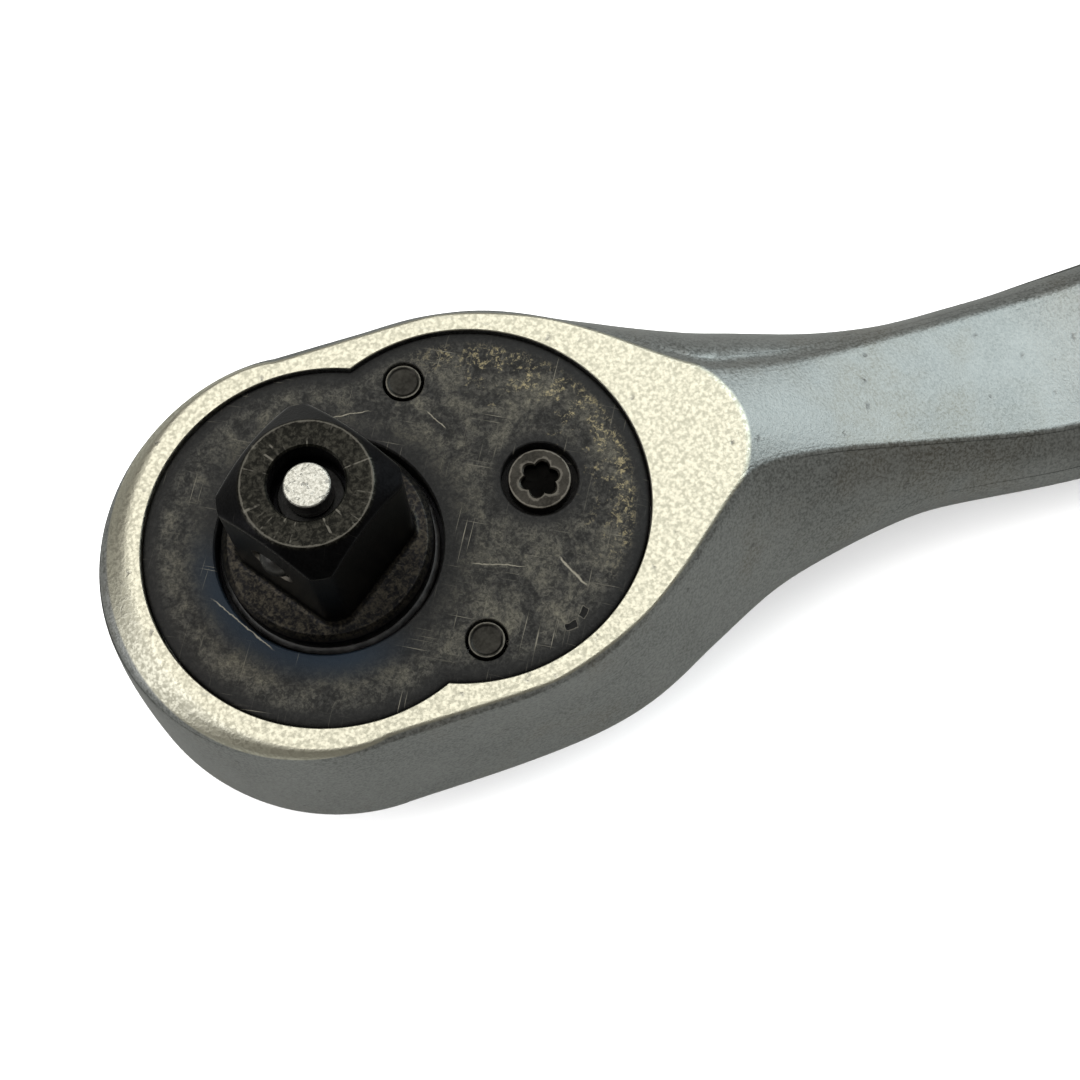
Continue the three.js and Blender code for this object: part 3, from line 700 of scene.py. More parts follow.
shank, shank_end = 1.25, -8.6
screw = turned("cover_screw_visual",
               softened([(0, shank_end), (shank - 0.25, shank_end), (shank, shank_end + 0.3),
                         (shank, screw_seat), (screw_head, screw_seat), (screw_head, plate_top),
                         (0, plate_top)],
                        [0, 0, 0, 0.1, 0.08, 0.16, 0]), 144, (screw_x, 0))
recess = [(six_lobed(lobes_radius + out), plate_top + up)
          for out, up in ((0.7 - lobes_radius, -0.85), (-0.03, -0.8), (-0.03, -0.1), (0.1, 0), (0.2, 1))]
screw = cut(screw, turned("tool", [(0, plate_top - 1.0), *recess, (0, plate_top + 1)], 144, (screw_x, 0)))


def dark_steel(name, base, bright, edges, grain_size=0.2, rough=0.42, scuffs=0.5):
    """Blackened steel; edges is a function giving (distance to a bright edge, worn or carrying a painted
    highlight, width, strength) rows.
    """
    made, tree, shader, place = surface(name)
    grain = use(tree, speckle, "Grain", place, grain_size)
    cloud = eased(tree, noise(tree, place, 0.5, 4, 0.6), 0.35, 0.7)
    marks = use(tree, scratches, "Mask", place, 2.5, 0.05, 0.28)
    color = blend(tree, cloud, rgb(*base), rgb(*(2.1 * c for c in base)))
    color = blend(tree, times(tree, grain, 0.35), color, rgb(*(3.2 * c for c in base)))
    bare_and_highlit = times(tree, marks, scuffs)
    # edges brightened by wear and by painted highlights
    for distance, width, strength in edges(tree, place):
        wear_and_highlight = use(tree, wear_and_highlight_edge, "Mask", distance, width, place, 2.4, 1.0)
        bare_and_highlit = sums(tree, "MAXIMUM", bare_and_highlit, times(tree, wear_and_highlight, strength))
    color = blend(tree, bare_and_highlit, color, rgb(*bright))
    tree.links.new(color, shader.inputs["Base Color"])
    tree.links.new(eased(tree, bare_and_highlit, 0, 1, rough, 0.3), shader.inputs["Roughness"])
    shader.inputs["Metallic"].default_value = 1
    bumped(tree, shader, sums(tree, "MULTIPLY_ADD", marks, -1.0, grain), 0.3, 0.012)
    return made


def screw_edges(tree, place):
    away = from_axis(tree, place, screw_x)
    along, across, up = axes(tree, place)
    direction = sums(tree, "ARCTAN2", across, sums(tree, "SUBTRACT", along, screw_x))
    lobed = sums(tree, "ABSOLUTE", sums(tree, "COSINE", times(tree, direction, lobes / 2)))
    lobed = sums(tree, "MULTIPLY_ADD", lobed, 2 * lobe_depth, 1 - lobe_depth)
    top = eased(tree, up, plate_top - 0.35, plate_top - 0.2)
    rim_line = off_by(tree, away, screw_head - 0.1)
    # painted highlight: a bright ring round the lip of the six-lobed recess
    lip = off_by(tree, sums(tree, "DIVIDE", away, lobed), lobes_radius + 0.12)
    return [(rim_line, 0.1, times(tree, top, 0.5)), (lip, 0.2, times(tree, top, 0.35))]


def inner_place(made):
    """The place on the piece, in mm from the rim face, in a finish that surface() began."""
    return next(n for n in made.node_tree.nodes if n.type == "VECT_MATH").outputs[0]


def darkened(made, depth, from_level, to_level, radius, x=0.0):
    """Paints shade into a finish inside a bore, darker from one level down to another."""
    tree = made.node_tree
    shader = tree.nodes["Principled BSDF"]
    place = inner_place(made)
    inside = times(tree, eased(tree, from_axis(tree, place, x), radius + 0.1, radius),
                  eased(tree, level(tree, place), from_level, to_level, 0, depth))
    unshaded_color = shader.inputs["Base Color"].links[0].from_socket
    tree.links.new(blend(tree, inside, unshaded_color, rgb(0.001, 0.001, 0.001)), shader.inputs["Base Color"])
    return made


screw_finish = dark_steel("black_oxide_screw", (0.017, 0.016, 0.014), (0.17, 0.16, 0.14), screw_edges,
                          scuffs=0.25)
# painted shade: the screw's recess goes black below its lip
finished(screw, darkened(screw_finish, 0.95, plate_top - 0.1, plate_top - 0.5, 1.6, screw_x), "frame",
         "black_oxide", "cover_screw")

# ------------------------------------------------------------------ pawl pins
# Two ground steel pins pressed into the head on either side of the drive. Each carries a pawl
# and its spring, and its dished upper end shows through the cover plate.
pin_end = -14.1


def pin_edges(side):
    def edges(tree, place):
        away = from_axis(tree, place, pin_x, side * pin_y)
        # painted highlight: a bright ring round the pin's rounded outer edge
        return [(off_by(tree, away, pin_radius - 0.06), 0.07, 0.35)]
    return edges


for name, side in (("left", 1), ("right", -1)):
    pin = turned("pin", softened([(0, pin_end), (pin_radius - 0.25, pin_end), (pin_radius, pin_end + 0.3),
                                  (pin_radius, plate_top), (pin_radius - 0.18, plate_top),
                                  (pin_radius - 0.3, plate_top - 0.08), (0, plate_top - 0.12)],
                                 [0, 0.05, 0.05, 0.07, 0.04, 0.06, 0]), 72, (pin_x, side * pin_y))
    pin.name = "pawl_pin_" + name + "_visual"
    pin_finish = dark_steel("pin_steel_" + name, (0.014, 0.0135, 0.012), (0.24, 0.23, 0.2), pin_edges(side),
                            0.3)
    finished(pin, pin_finish, "frame", "bright_steel", "pawl_pin_" + name)

# ------------------------------------------------------------------ drive anvil
# Turned and milled from one bar: back journal, 72-tooth ratchet wheel, flange with a seal
# groove, and the 3/8 inch square with turned corners and a turned lead-in at its end.
square, square_turn = 9.525, -8.5
corner_radius, square_end, land_radius, lead_in = 6.05, 12.28, 4.32, 1.5
flange_radius, flange_top = 7.4, 1.1
groove_radius, groove_low, groove_high = 6.65, -1.85, -0.65
teeth, gear_tip, gear_root = 72, 10, 9.45
gear_top, gear_bottom = -2.45, -8.35
journal, journal_end = 4.2, -18.3
rod_radius, button_radius = 1.56, 3
spring_seat = -10.4
end_bore = 2.52
ball_radius, ball_height = 1.35, 6.9
ball_turn = math.radians(square_turn - 135)
gear_sides = teeth * 8


def tooth_ring(inset):
    """Radii of the wheel's rim: teeth of equal flanks with rounded tips and roots."""
    phase = np.arange(gear_sides) * teeth / gear_sides
    height = 1 - 2 * np.abs(phase - np.round(phase))
    return gear_root - inset + (gear_tip - gear_root) * np.clip(height * 1.12 - 0.06, 0, 0.97)


def square_ring(level_up, sides):
    """Radii of the square at a height: flats, turned corners, lead-in, and a fillet at its foot."""
    angle = np.linspace(0, 2 * math.pi, sides, endpoint=False) - math.radians(square_turn + 45)
    flat = square / 2 / np.maximum(np.abs(np.cos(angle)), np.abs(np.sin(angle)))
    cone = land_radius + (square_end - level_up) * (corner_radius - land_radius) / lead_in
    turned_off = min(corner_radius, cone)
    foot = max(0.0, 0.5 - (level_up - flange_top))
    sharpness = 70
    both = (flat ** -sharpness + turned_off ** -sharpness) ** (-1 / sharpness)
    return both + 0.5 - math.sqrt(max(0.25 - foot ** 2, 0))


square_sides = 360
levels = [flange_top - 0.5] + [flange_top + 0.5 * (1 - math.cos(t)) for t in np.linspace(0, math.pi / 2, 6)]
levels += list(np.linspace(flange_top + 1, square_end - lead_in - 0.3, 12))
levels += list(np.linspace(square_end - lead_in - 0.15, square_end - 0.06, 20))
square_bar = turned("square", [(0, levels[0])] + [(square_ring(z, square_sides), z) for z in levels]
                    + [(square_ring(square_end - 0.02, square_sides) - 0.03, square_end - 0.01),
                       (land_radius - 0.12, square_end), (0, square_end)], square_sides)
wheel = turned("wheel", [(0, gear_bottom), (gear_root - 0.45, gear_bottom), (tooth_ring(0.3), gear_bottom),
                         (tooth_ring(0), gear_bottom + 0.3), (tooth_ring(0), gear_top - 0.3),
                         (tooth_ring(0.3), gear_top), (gear_root - 0.45, gear_top), (0, gear_top)],
               gear_sides)
barrel = turned("barrel", softened([(0, journal_end), (journal, journal_end), (journal, gear_bottom + 1),
                                    (flange_radius, gear_bottom + 1), (flange_radius, groove_low),
                                    (groove_radius, groove_low), (groove_radius, groove_high),
                                    (flange_radius, groove_high), (flange_radius, flange_top - 0.4),
                                    (flange_radius - 0.45, flange_top), (0, flange_top)],
                                   [0, 0.3, 0, 0, 0.08, 0.1, 0.1, 0.08, 0.08, 0.08, 0]), 192)
ball_out = square / 2 + 0.5 - ball_radius
ball_hole = turned("tool", [(0, 0), (ball_radius + 0.1, 0), (ball_radius + 0.1, square / 2 - 0.22),
                            (ball_radius + 0.34, square / 2 + 0.05), (ball_radius + 0.34, 7), (0, 7)], 96)
laid_down = Matrix.Rotation(ball_turn, 4, "Z") @ Matrix.Rotation(math.pi / 2, 4, "Y")
ball_hole.data.transform(Matrix.Translation((0, 0, (rim + ball_height) * MM)) @ laid_down
                         @ Matrix.Translation((0, 0, -rim * MM)))
anvil = cut(joined(wheel, barrel, square_bar),
            hole(rod_radius + 0.2, -30, 20),
            hole(end_bore, 8.9, square_end, chamfer=0.14, sides=96),
            turned("tool", [(0, -30), (button_radius + 0.5, -30), (button_radius + 0.5, journal_end),
                            (button_radius + 0.3, journal_end + 0.2), (button_radius + 0.3, spring_seat),
                            (0, spring_seat)]),
            ball_hole)
anvil.name = "drive_anvil_visual"


def anvil_edges(tree, place):
    away = from_axis(tree, place)
    on_end = eased(tree, level(tree, place), square_end - 0.25, square_end - 0.1)
    return [(off_by(tree, away, land_radius - 0.03), 0.07, times(tree, on_end, 0.35)),
            (off_by(tree, away, end_bore + 0.12), 0.06, times(tree, on_end, 0.25))]


def black_anvil():
    """Black oxide, rubbed on the end face with short radial ticks, with a painted highlight round the edge of
    the ball's hole.
    """
    made = dark_steel("black_oxide_anvil", (0.005, 0.005, 0.0055), (0.3, 0.29, 0.26), anvil_edges, 0.22, 0.34,
                      0.25)
    tree = made.node_tree
    shader = tree.nodes["Principled BSDF"]
    color = shader.inputs["Base Color"].links[0].from_socket
    place = inner_place(made)
    height = level(tree, place)
    fuzz = eased(tree, noise(tree, place, 3.2, 5, 0.7, 0.5), 0.4, 0.66)
    on_flange = times(tree, eased(tree, height, flange_top - 0.5, flange_top - 0.12),
                      eased(tree, height, flange_top + 0.6, flange_top + 0.1))
    color = blend(tree, times(tree, on_flange, fuzz), color, rgb(0.04, 0.036, 0.029))

    ended = eased(tree, height, square_end - 0.2, square_end - 0.05)
    spokes = node(tree, "ShaderNodeTexGradient", vector(tree, "MULTIPLY", place, (1, 1, 0)),
                  gradient_type="RADIAL")
    around = node(tree, "ShaderNodeCombineXYZ", times(tree, spokes, 26), 0.0, 0.0)
    ticks = times(tree, eased(tree, noise(tree, around, 2.6, 1, 0.5), 0.58, 0.66),
                  eased(tree, noise(tree, place, 1.4, 2), 0.45, 0.6))
    rubbed = blend(tree, fuzz, rgb(0.008, 0.008, 0.007), rgb(0.032, 0.031, 0.026))
    rubbed = blend(tree, times(tree, ticks, 0.7), rubbed, rgb(0.12, 0.115, 0.1))
    color = blend(tree, ended, color, rubbed)
    land = off_by(tree, from_axis(tree, place), land_radius - 0.04)
    edge = use(tree, wear_and_highlight_edge, "Mask", land, 0.1, place, 2.4, 1.0)
    color = blend(tree, times(tree, times(tree, edge, ended), 0.5), color, rgb(0.12, 0.115, 0.1))

    # painted highlight: a bright ring round the edge of the ball's hole in the square's side
    off = vector(tree, "ADD", place, (0, 0, -ball_height))
    along_ball = node(tree, "ShaderNodeVectorMath", off, (math.cos(ball_turn), math.sin(ball_turn), 0),
                      operation="DOT_PRODUCT")
    from_middle = node(tree, "ShaderNodeVectorMath", off, off, operation="DOT_PRODUCT")
    from_ball = sums(tree, "SQRT", sums(tree, "SUBTRACT", from_middle, times(tree, along_ball, along_ball)))
    by_ball = use(tree, wear_and_highlight_edge, "Mask", off_by(tree, from_ball, ball_radius + 0.22), 0.16, place, 1.4, 0.8)
    ball_hole_highlight = times(tree, eased(tree, along_ball, square / 2 - 0.5, square / 2 - 0.25), by_ball)
    color = blend(tree, times(tree, ball_hole_highlight, 0.8), color, rgb(0.22, 0.2, 0.175))
    tree.links.new(color, shader.inputs["Base Color"])
    return made


finished(anvil, black_anvil(), "drive", "black_oxide", "drive_anvil")

# ------------------------------------------------------------------ seals and washers
# Nitrile O-rings in the flange groove and in the lever's neck, and a blued spring-steel thrust
# washer under the ratchet wheel; stamped, so its edges are just broken.


def o_ring(name, centre_radius, wire, height, body_name, *nodes):
    seal = turned(name, [(centre_radius + wire * math.cos(t), height + wire * math.sin(t))
                         for t in np.linspace(0, 2 * math.pi, 28, endpoint=False)], 160, closed=True)
    finished(seal, rubber, body_name, "black_rubber", *nodes)


rubber, tree, shader, place = surface("nitrile_rubber")
dusty = eased(tree, noise(tree, place, 1.1, 5, 0.6), 0.4, 0.7)
black = blend(tree, dusty, rgb(0.012, 0.012, 0.012), rgb(0.035, 0.034, 0.032))
tree.links.new(black, shader.inputs["Base Color"])
tree.links.new(eased(tree, dusty, 0, 1, 0.42, 0.65), shader.inputs["Roughness"])
bumped(tree, shader, noise(tree, place, 9, 3), 0.2, 0.01)
o_ring("drive_o_ring_visual", 7.3, 0.42, -1.25, "drive", "drive_o_ring")
o_ring("lever_o_ring_visual", 5.83, 0.28, -13.8, "selector", "lever_o_ring")


def spring_steel_finish(name, color, tint, rough, grain_size=0.25):
    """Bare hardened steel: a drawn or rolled grain, faint straw and blue temper colours, a few scuffs."""
    made, tree, shader, place = surface(name)
    grain = use(tree, speckle, "Grain", place, grain_size)
    temper = eased(tree, noise(tree, place, 0.35, 3), 0.35, 0.65)
    marks = use(tree, scratches, "Mask", place, 3, 0.05, 0.35)
    shade = blend(tree, temper, rgb(*color), rgb(*tint))
    shade = blend(tree, times(tree, grain, 0.3), shade, rgb(*(0.55 * c for c in color)))
    shade = blend(tree, times(tree, marks, 0.5), shade, rgb(0.85, 0.85, 0.83))
    tree.links.new(shade, shader.inputs["Base Color"])
    tree.links.new(eased(tree, grain, 0, 1, rough - 0.08, rough + 0.1), shader.inputs["Roughness"])
    shader.inputs["Metallic"].default_value = 1
    bumped(tree, shader, sums(tree, "SUBTRACT", grain, marks), 0.25, 0.008)
    return made


blued = spring_steel_finish("blued_spring_steel", (0.3, 0.31, 0.34), (0.36, 0.32, 0.26), 0.34)
bright = spring_steel_finish("bright_steel", (0.72, 0.72, 0.7), (0.62, 0.62, 0.6), 0.26)


def stamped_ring(name, inner, outer, low, high, edge, sides=160):
    return turned(name, softened([(inner, low), (outer, low), (outer, high), (inner, high)], edge, 4, True),
                  sides, closed=True)


finished(stamped_ring("thrust_washer_visual", 4.55, 7.6, -9.05, -8.65, 0.08), blued, "frame", "spring_steel",
         "thrust_washer")

# ------------------------------------------------------------------ pawls
# Two powder-steel pawls, one for each direction, pivoted on the pins. Each has a boss round its
# pin, an arm that follows the wheel, and three teeth; only one is let into mesh at a time.
pawl_top, pawl_bottom = -4.55, -11.4
pawl_boss = 2
mesh_gap = 0.23
pawl_lift = 9                           # degrees from mesh to held off


def polar(radius, degrees):
    return radius * math.cos(math.radians(degrees)), radius * math.sin(math.radians(degrees))


def prism(name, outline, low, high):
    """An upright prism of an outline."""
    count = len(outline)
    vertices = [(x, y, low) for x, y in outline] + [(x, y, high) for x, y in outline]
    sides = [(i, (i + 1) % count, count + (i + 1) % count, count + i) for i in range(count)]
    return piece(name, vertices, [tuple(range(count)), tuple(range(count, 2 * count)), *sides])


def eased_edges(obj, width, segments=3, over=32):
    """Breaks the sharp edges of a piece."""
    bevel = obj.modifiers.new("edges", "BEVEL")
    bevel.width = width * MM
    bevel.segments = segments
    bevel.limit_method = "ANGLE"
    bevel.angle_limit = math.radians(over)
    return applied(obj, bevel)


def about_pin(obj, degrees, mirrored):
    """Swings a left-hand piece round the left pin, and mirrors it to the right-hand side if asked."""
    pin_at = Matrix.Translation((pin_x * MM, pin_y * MM, 0))
    obj.data.transform(pin_at @ Matrix.Rotation(math.radians(degrees), 4, "Z") @ pin_at.inverted())
    if mirrored:
        obj.data.transform(Matrix.Scale(-1, 4, (0, 1, 0)))
        obj.data.flip_normals()
    return obj


def pawl():
    back = [polar(gear_tip + 0.32, degrees) for degrees in np.linspace(50, 32, 9)]
    toothed = []
    for tooth in (5.5, 4.5, 3.5):
        toothed += [polar(gear_tip + mesh_gap, 360 * (tooth + 0.5) / teeth),
                    polar(gear_root + mesh_gap, 360 * tooth / teeth)]
    heel = softened([polar(gear_tip + mesh_gap, 15), polar(12.15, 13.5), (12.15, 4.7), (11.4, 7.8),
                     (pin_x + pawl_boss, pin_y)], [0, 0.25, 0.5, 0.6, 0])
    outline = [*back, *toothed, *heel, (pin_x, pin_y)]
    arm = joined(prism("pawl", outline[::-1], pawl_bottom, pawl_top),
                 hole(pawl_boss, pawl_bottom, pawl_top, (pin_x, pin_y), sides=72))
    relieved = cut(arm, hole(gear_tip + 0.32, -20, -9.25, sides=180))
    return cut(eased_edges(relieved, 0.09),
               hole(pin_radius + pin_clearance, -20, 0, (pin_x, pin_y)))


for name, lift, mirrored in (("left", 0, False), ("right", pawl_lift, True)):
    made = about_pin(pawl(), lift, mirrored)
    made.name = "pawl_" + name + "_visual"
    finished(made, blued, name + "_pawl", "spring_steel", "pawl_" + name)

# ------------------------------------------------------------------ springs
# Drawn music wire, coiled cold. The release and click springs are compression springs with
# closed ends; each pawl's torsion spring winds round the pin and lays one leg along the pawl.


def geometry_tree(name, **sockets):
    """A geometry tree with a named input for each size, and those inputs."""
    tree = bpy.data.node_groups.new(name, "GeometryNodeTree")
    tree.interface.new_socket("Geometry", in_out="INPUT", socket_type="NodeSocketGeometry")
    for label, kind in {**sockets, "Finish": "Material"}.items():
        tree.interface.new_socket(label, in_out="INPUT", socket_type="NodeSocket" + kind)
    tree.interface.new_socket("Geometry", in_out="OUTPUT", socket_type="NodeSocketGeometry")
    return tree, tree.nodes.new("NodeGroupInput").outputs


def tree_end(tree, geometry, finish):
    """Makes instances real, gives them their finish and ends the tree."""
    painted = tree.nodes.new("GeometryNodeSetMaterial")
    tree.links.new(node(tree, "GeometryNodeRealizeInstances", geometry), painted.inputs["Geometry"])
    tree.links.new(finish, painted.inputs["Material"])
    tree.links.new(painted.outputs[0], tree.nodes.new("NodeGroupOutput").inputs[0])


def wire_end(tree, curve, wire, finish):
    """Sweeps a round wire along a curve, closes its ends and ends the tree."""
    section = node(tree, "GeometryNodeCurvePrimitiveCircle", 14, wire)
    swept = tree.nodes.new("GeometryNodeCurveToMesh")
    tree.links.new(curve, swept.inputs["Curve"])
    tree.links.new(section, swept.inputs["Profile Curve"])
    swept.inputs["Fill Caps"].default_value = True
    tree_end(tree, swept.outputs[0], finish)


def grown(name, tree, values, seed_mesh=None):
    """Runs a geometry tree on a mesh, or on an empty one, and keeps the result as a plain mesh."""
    obj = bpy.data.objects.new(name, seed_mesh or bpy.data.meshes.new(name))
    bpy.context.scene.collection.objects.link(obj)
    growth = obj.modifiers.new("growth", "NODES")
    growth.node_group = tree
    for item in tree.interface.items_tree:
        if item.in_out == "INPUT" and item.name in values:
            growth[item.identifier] = values[item.name]
    return applied(obj, growth)


coil_tree, given = geometry_tree("compression_spring", Radius="Float", Turns="Float", Low="Float",
                                 High="Float", Wire="Float", Centre="Float")
spiral = coil_tree.nodes.new("GeometryNodeCurveSpiral")
spiral.inputs["Resolution"].default_value = 40
for socket, source in (("Rotations", "Turns"), ("Start Radius", "Radius"), ("End Radius", "Radius")):
    coil_tree.links.new(given[source], spiral.inputs[socket])
spiral.inputs["Height"].default_value = 0
share = coil_tree.nodes.new("GeometryNodeSplineParameter").outputs["Factor"]
closed_ends = blend(coil_tree, 0.75, share, eased(coil_tree, share, 0.0, 1.0))
rise = node(coil_tree, "ShaderNodeMapRange", closed_ends, 0.0, 1.0, given["Low"], given["High"])
lift = node(coil_tree, "ShaderNodeCombineXYZ", given["Centre"], 0.0, rise)
moved = coil_tree.nodes.new("GeometryNodeSetPosition")
coil_tree.links.new(spiral.outputs[0], moved.inputs["Geometry"])
coil_tree.links.new(lift, moved.inputs["Offset"])
wire_end(coil_tree, moved.outputs[0], given["Wire"], given["Finish"])


def compression_spring(name, radius, turns, low, high, wire, centre_x=0.0):
    return grown(name, coil_tree, {"Radius": radius * MM, "Turns": turns, "Low": (low + rim) * MM,
                                   "High": (high + rim) * MM, "Wire": wire * MM, "Centre": centre_x * MM,
                                   "Finish": bright})


finished(compression_spring("release_spring_visual", 2.4, 5.0, -15.4, -10.85, 0.22), bright, "drive",
         "spring_steel", "release_spring")
finished(compression_spring("click_spring_visual", 0.58, 4.0, -15.4, -13.25, 0.15, click_x), bright, "frame",
         "spring_steel", "click_spring")

bent_tree, given = geometry_tree("bent_wire", Wire="Float")
line = node(bent_tree, "GeometryNodeMeshToCurve", given["Geometry"])
smooth = bent_tree.nodes.new("GeometryNodeCurveSplineType")
smooth.spline_type = "CATMULL_ROM"
bent_tree.links.new(line, smooth.inputs["Curve"])
fine = bent_tree.nodes.new("GeometryNodeSetSplineResolution")
bent_tree.links.new(smooth.outputs[0], fine.inputs["Geometry"])
fine.inputs["Resolution"].default_value = 4
wire_end(bent_tree, fine.outputs[0], given["Wire"], given["Finish"])

spring_wire, coil_radius, coil_foot, coil_climb = 0.22, 1.8, -4.12, 1.12
for name, lift, mirrored in (("left", 0, False), ("right", pawl_lift, True)):
    leg = [(pin_x + 2.6 - 0.02 * y, y, coil_foot - 0.12) for y in (3.8, 4.7, 5.8)]
    leg.append((pin_x + 1.95, pin_y - 1.45, coil_foot - 0.1))
    coil = [(pin_x + coil_radius * math.cos(t), pin_y + coil_radius * math.sin(t),
             coil_foot + coil_climb * (t - math.pi / 2) / (4.5 * math.pi))
            for t in np.linspace(2.1 * math.pi, 5 * math.pi, 36)]
    path = bpy.data.meshes.new("path")
    points = [(x * MM, y * MM, (z + rim) * MM) for x, y, z in leg + coil]
    path.from_pydata(points, [(i, i + 1) for i in range(len(points) - 1)], [])
    spring = about_pin(grown("pawl_spring_" + name + "_visual", bent_tree,
                             {"Wire": spring_wire * MM, "Finish": bright}, path), lift, mirrored)
    finished(spring, bright, name + "_pawl", "spring_steel", "pawl_spring_" + name)

# ------------------------------------------------------------------ socket release
# A ground steel push rod down the middle of the drive: thumb button at the back, waist that lets
# the ball in, circlip near the end, and a blasted tip that shows bright in the end bore.
button_face = -rim
rod_tip = square_end - 0.25
clip_level, clip_groove, waist = 9.3, 1.1, 1
button = cut(turned("release_button_visual",
                    softened([(0, button_face), (1.9, button_face), (2.15, button_face + 0.001),
                              (button_radius, button_face + 0.001), (button_radius, -15.9), (0, -15.9)],
                             [0, 0, 0, 0.3, 0.2, 0]), 96),
             hole(1.1, -18.6, -15))
rod = turned("release_plunger_visual",
             softened([(0, -18.3), (0.85, -18.3), (0.85, -15.6), (rod_radius, -15.6), (rod_radius, 3.3),
                       (waist, 3.9), (waist, 4.5), (rod_radius, 5.1),
                       (rod_radius, clip_level - 0.25), (clip_groove, clip_level - 0.25),
                       (clip_groove, clip_level + 0.8), (rod_radius, clip_level + 0.8),
                       (rod_radius, rod_tip), (0, rod_tip)],
                      [0, 0.15, 0.08, 0.1, 0.15, 0.15, 0.15, 0.15, 0.06, 0.06, 0.06, 0.06, 0.22, 0]), 96)


def blasted_tip():
    """Bright steel, with a pitted white end."""
    made, tree, shader, place = surface("bright_steel_rod")
    tip = eased(tree, level(tree, place), rod_tip - 0.4, rod_tip - 0.05)
    pits = eased(tree, noise(tree, place, 2.2, 4, 0.6, 1.2), 0.58, 0.66)
    frost = use(tree, speckle, "Grain", place, 0.2)
    turned_marks = noise(tree, vector(tree, "MULTIPLY", place, (0.2, 0.2, 9)), 1.0, 2)
    bar = blend(tree, eased(tree, turned_marks, 0.4, 0.6), rgb(0.5, 0.5, 0.49), rgb(0.68, 0.68, 0.66))
    end = blend(tree, frost, rgb(0.38, 0.375, 0.335), rgb(0.68, 0.672, 0.62))
    end = blend(tree, times(tree, pits, 0.75), end, rgb(0.3, 0.29, 0.27))
    tree.links.new(blend(tree, tip, bar, end), shader.inputs["Base Color"])
    tree.links.new(blend(tree, tip, 0.28, 0.5), shader.inputs["Roughness"])
    shader.inputs["Metallic"].default_value = 1
    bumped(tree, shader, times(tree, tip, sums(tree, "MULTIPLY_ADD", pits, -2, frost)), 0.5, 0.02)
    return made


finished(button, bright, "release", "bright_steel", "release_button")
finished(rod, blasted_tip(), "release", "bright_steel", "release_plunger")
finished(stamped_ring("release_clip_visual", 1.35, 2.22, clip_level, clip_level + 0.55, 0.1, 96),
         dark_steel("black_clip", (0.01, 0.01, 0.01), (0.2, 0.2, 0.2), lambda tree, place: []), "release",
         "spring_steel", "release_clip")


def bearing_ball(name, radius, x, y, height, finish, body_name, node_name):
    half_circle = [(radius * math.sin(t), height - radius * math.cos(t)) for t in np.linspace(0, math.pi, 33)]
    finished(turned(name, half_circle, 64, (x, y)), finish, body_name, "bright_steel", node_name)


dulled = spring_steel_finish("dulled_ball", (0.075, 0.072, 0.066), (0.05, 0.05, 0.05), 0.36)
bearing_ball("socket_ball_visual", ball_radius, ball_out * math.cos(ball_turn),
             ball_out * math.sin(ball_turn), ball_height, dulled, "ball", "socket_ball")

# ------------------------------------------------------------------ selector: cam, ring, lever, click ball
# The reversing lever is cast and satin plated, with a finger arm, three thumb ridges and a
# keyed neck through the back of the head. A stamped cam on the key holds one pawl off the
# wheel; a snap ring keeps the stack together, and a sprung ball clicks into two dimples.
lever_top = -16.75
dial_radius, dial_thickness = 10, 2
collar_radius, collar_end, neck_top = 6, -21.5, -11.75
lever_at_rest = -20                     # degrees, half of the lever's throw
neck_bore = 4.45
cam_radius, cam_lobe = 9.85, 10.8
key_half = 5


def keyed(radius, half, low, high):
    """A round bar with two flats."""
    angle = np.linspace(0, 2 * math.pi, 180, endpoint=False)
    flatted = np.minimum(radius, half / np.maximum(np.abs(np.sin(angle)), 1e-6))
    return turned("key", [(0, low), (flatted, low), (flatted, high), (0, high)], 180)


def reach(outline, angles):
    """How far an outline round the axis reaches in each direction."""
    far = np.zeros(len(angles))
    for (x0, y0), (x1, y1) in zip(outline, outline[1:] + outline[:1]):
        across = x1 - x0, y1 - y0
        area = np.cos(angles) * across[1] - np.sin(angles) * across[0]
        safe = np.where(np.abs(area) < 1e-9, 1e-9, area)
        distance = (x0 * across[1] - y0 * across[0]) / safe
        share_on = (x0 * np.sin(angles) - y0 * np.cos(angles)) / safe
        far = np.where((distance > 0) & (share_on >= 0) & (share_on <= 1), np.maximum(far, distance), far)
    return far


def at_rest(obj):
    obj.data.transform(Matrix.Rotation(math.radians(lever_at_rest), 4, "Z"))
    return obj


cam_angles = np.degrees(np.linspace(0, 2 * math.pi, 360, endpoint=False))
cam_rise = 1 - smoothstep(8, 14, np.abs((cam_angles + 180) % 360 - 180))
cam_rim = cam_radius + (cam_lobe - cam_radius) * cam_rise
cam_low, cam_high, cam_edge = -11.45, -9.9, 0.12
cam_profile = [(0, cam_low), (cam_rim - cam_edge, cam_low), (cam_rim, cam_low + cam_edge),
               (cam_rim, cam_high - cam_edge), (cam_rim - cam_edge, cam_high), (0, cam_high)]
cam = cut(turned("selector_cam_visual", cam_profile, 360), keyed(5.7, key_half + 0.25, -20, 0))
finished(at_rest(cam), blued, "selector", "spring_steel", "selector_cam")
finished(cut(stamped_ring("selector_snap_ring_visual", 5.3, 6.5, -9.75, -9.3, 0.08),
             prism("tool", [(4.5, -0.5), (7.5, -0.9), (7.5, 0.9), (4.5, 0.5)], -12, -8)), blued, "selector",
         "spring_steel", "selector_snap_ring")

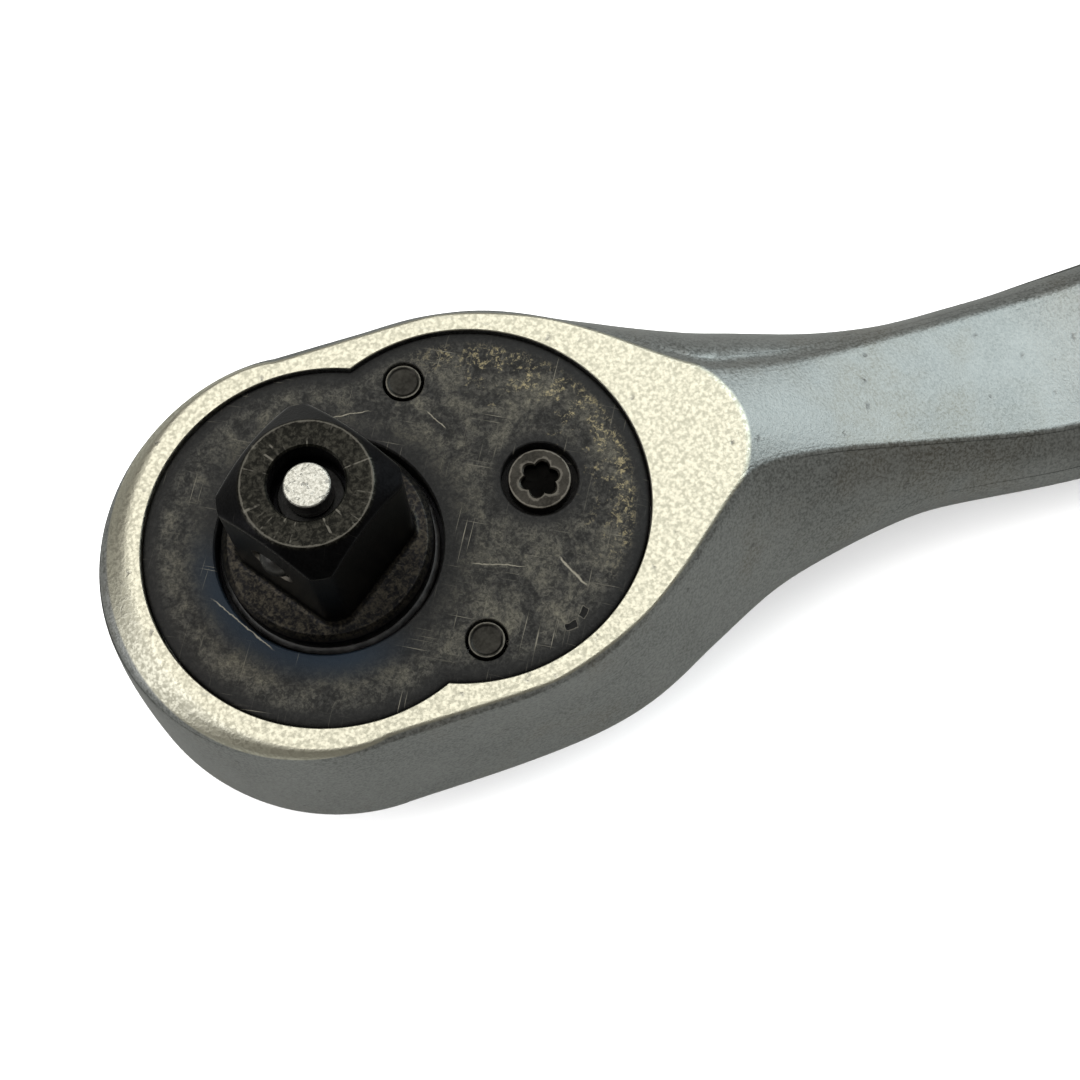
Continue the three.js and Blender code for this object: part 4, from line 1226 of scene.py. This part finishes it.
arm_length, arm_half = 16.8, 4.2
tip_arc = [(arm_length - arm_half + arm_half * math.cos(t), arm_half * math.sin(t))
           for t in np.linspace(-1.15, 1.15, 25)]
arm_outline = [(0, -6.8), (8.2, -5.1), *tip_arc, (8.2, 5.1), (0, 6.8), (-2, 0)]
lever_sides = 480
around = np.linspace(0, 2 * math.pi, lever_sides, endpoint=False)
blade_reach = reach(arm_outline, around)
blade = (np.full(lever_sides, float(dial_radius)) ** 24 + blade_reach ** 24) ** (1 / 24)
blade = np.minimum(blade, np.maximum(arm_length, dial_radius))
for _ in range(6):
    blade = (np.roll(blade, 1) + 2 * blade + np.roll(blade, -1)) / 4
dial_bottom = lever_top - dial_thickness
lip = 0.5
rounding = [(lip * (1 - math.sin(t)), lip * (1 - math.cos(t))) for t in np.linspace(0, math.pi / 2, 7)]
lower_edge = [(blade - inset, dial_bottom + up) for inset, up in rounding]
upper_edge = [(blade - inset * 0.5, lever_top - up * 0.5) for inset, up in rounding[::-1]]
blade_plate = turned("blade", [(0, dial_bottom), *lower_edge, *upper_edge, (0, lever_top)], lever_sides)

ridge_tree, given = geometry_tree("thumb_ridges", Count="Int", First="Vector", Pitch="Vector", Length="Float",
                                  Width="Float")
row = node(ridge_tree, "GeometryNodeMeshLine", given["Count"], given["First"], given["Pitch"])
half_round = node(ridge_tree, "GeometryNodeMeshUVSphere", 24, 16, 1.0)
spread = node(ridge_tree, "ShaderNodeCombineXYZ", given["Width"], given["Length"], given["Width"])
placed = ridge_tree.nodes.new("GeometryNodeInstanceOnPoints")
for source, socket in ((row, "Points"), (half_round, "Instance"), (spread, "Scale")):
    ridge_tree.links.new(source, placed.inputs[socket])
tree_end(ridge_tree, placed.outputs[0], given["Finish"])
first_ridge = (11.55 * MM, 0, (dial_bottom + 0.1 + rim) * MM)
ridges = grown("thumb_ridges", ridge_tree, {"Count": 3, "First": first_ridge, "Pitch": (1.5 * MM, 0, 0),
                                            "Length": 3.3 * MM, "Width": 0.62 * MM, "Finish": bright})
neck = turned("neck", softened([(0, collar_end), (collar_radius, collar_end),
                                (collar_radius, dial_bottom + 0.5), (neck_radius, lever_top - 1),
                                (neck_radius, neck_top), (0, neck_top)], [0, 0.4, 0, 0, 0.2, 0]), 160)
click_track = stamped_ring("tool", -click_x - 1.1, -click_x + 1.1, lever_top - 0.8, lever_top + 0.5, 0)
dimple = [(math.sin(t), lever_top - 0.3 - math.cos(t)) for t in np.linspace(0, math.pi, 17)]
dimples = [turned("tool", dimple, 32, polar(-click_x, 180 + turn))
           for turn in (lever_at_rest, -lever_at_rest)]
lever = cut(joined(blade_plate, neck, keyed(5.45, key_half, -12.5, -9.25), ridges),
            turned("tool", [(0, -30), (neck_bore + 0.35, -30), (neck_bore + 0.35, collar_end),
                            (neck_bore, collar_end + 0.35), (neck_bore, 0), (0, 0)], 128),
            stamped_ring("tool", 5.45, 8, -14.4, -13.2, 0), stamped_ring("tool", 5.05, 8, -9.95, -9.1, 0),
            click_track, *dimples)
lever.name = "reverse_lever_visual"
all_satin = 30.0                        # a ground level above the whole tool leaves no face ground
finished(at_rest(lever), satin_chrome("satin_chrome_lever", all_satin), "selector", "satin_chrome",
         "reverse_lever")
bearing_ball("click_ball_visual", click_radius, click_x, 0, -16.4, bright, "click", "click_ball")
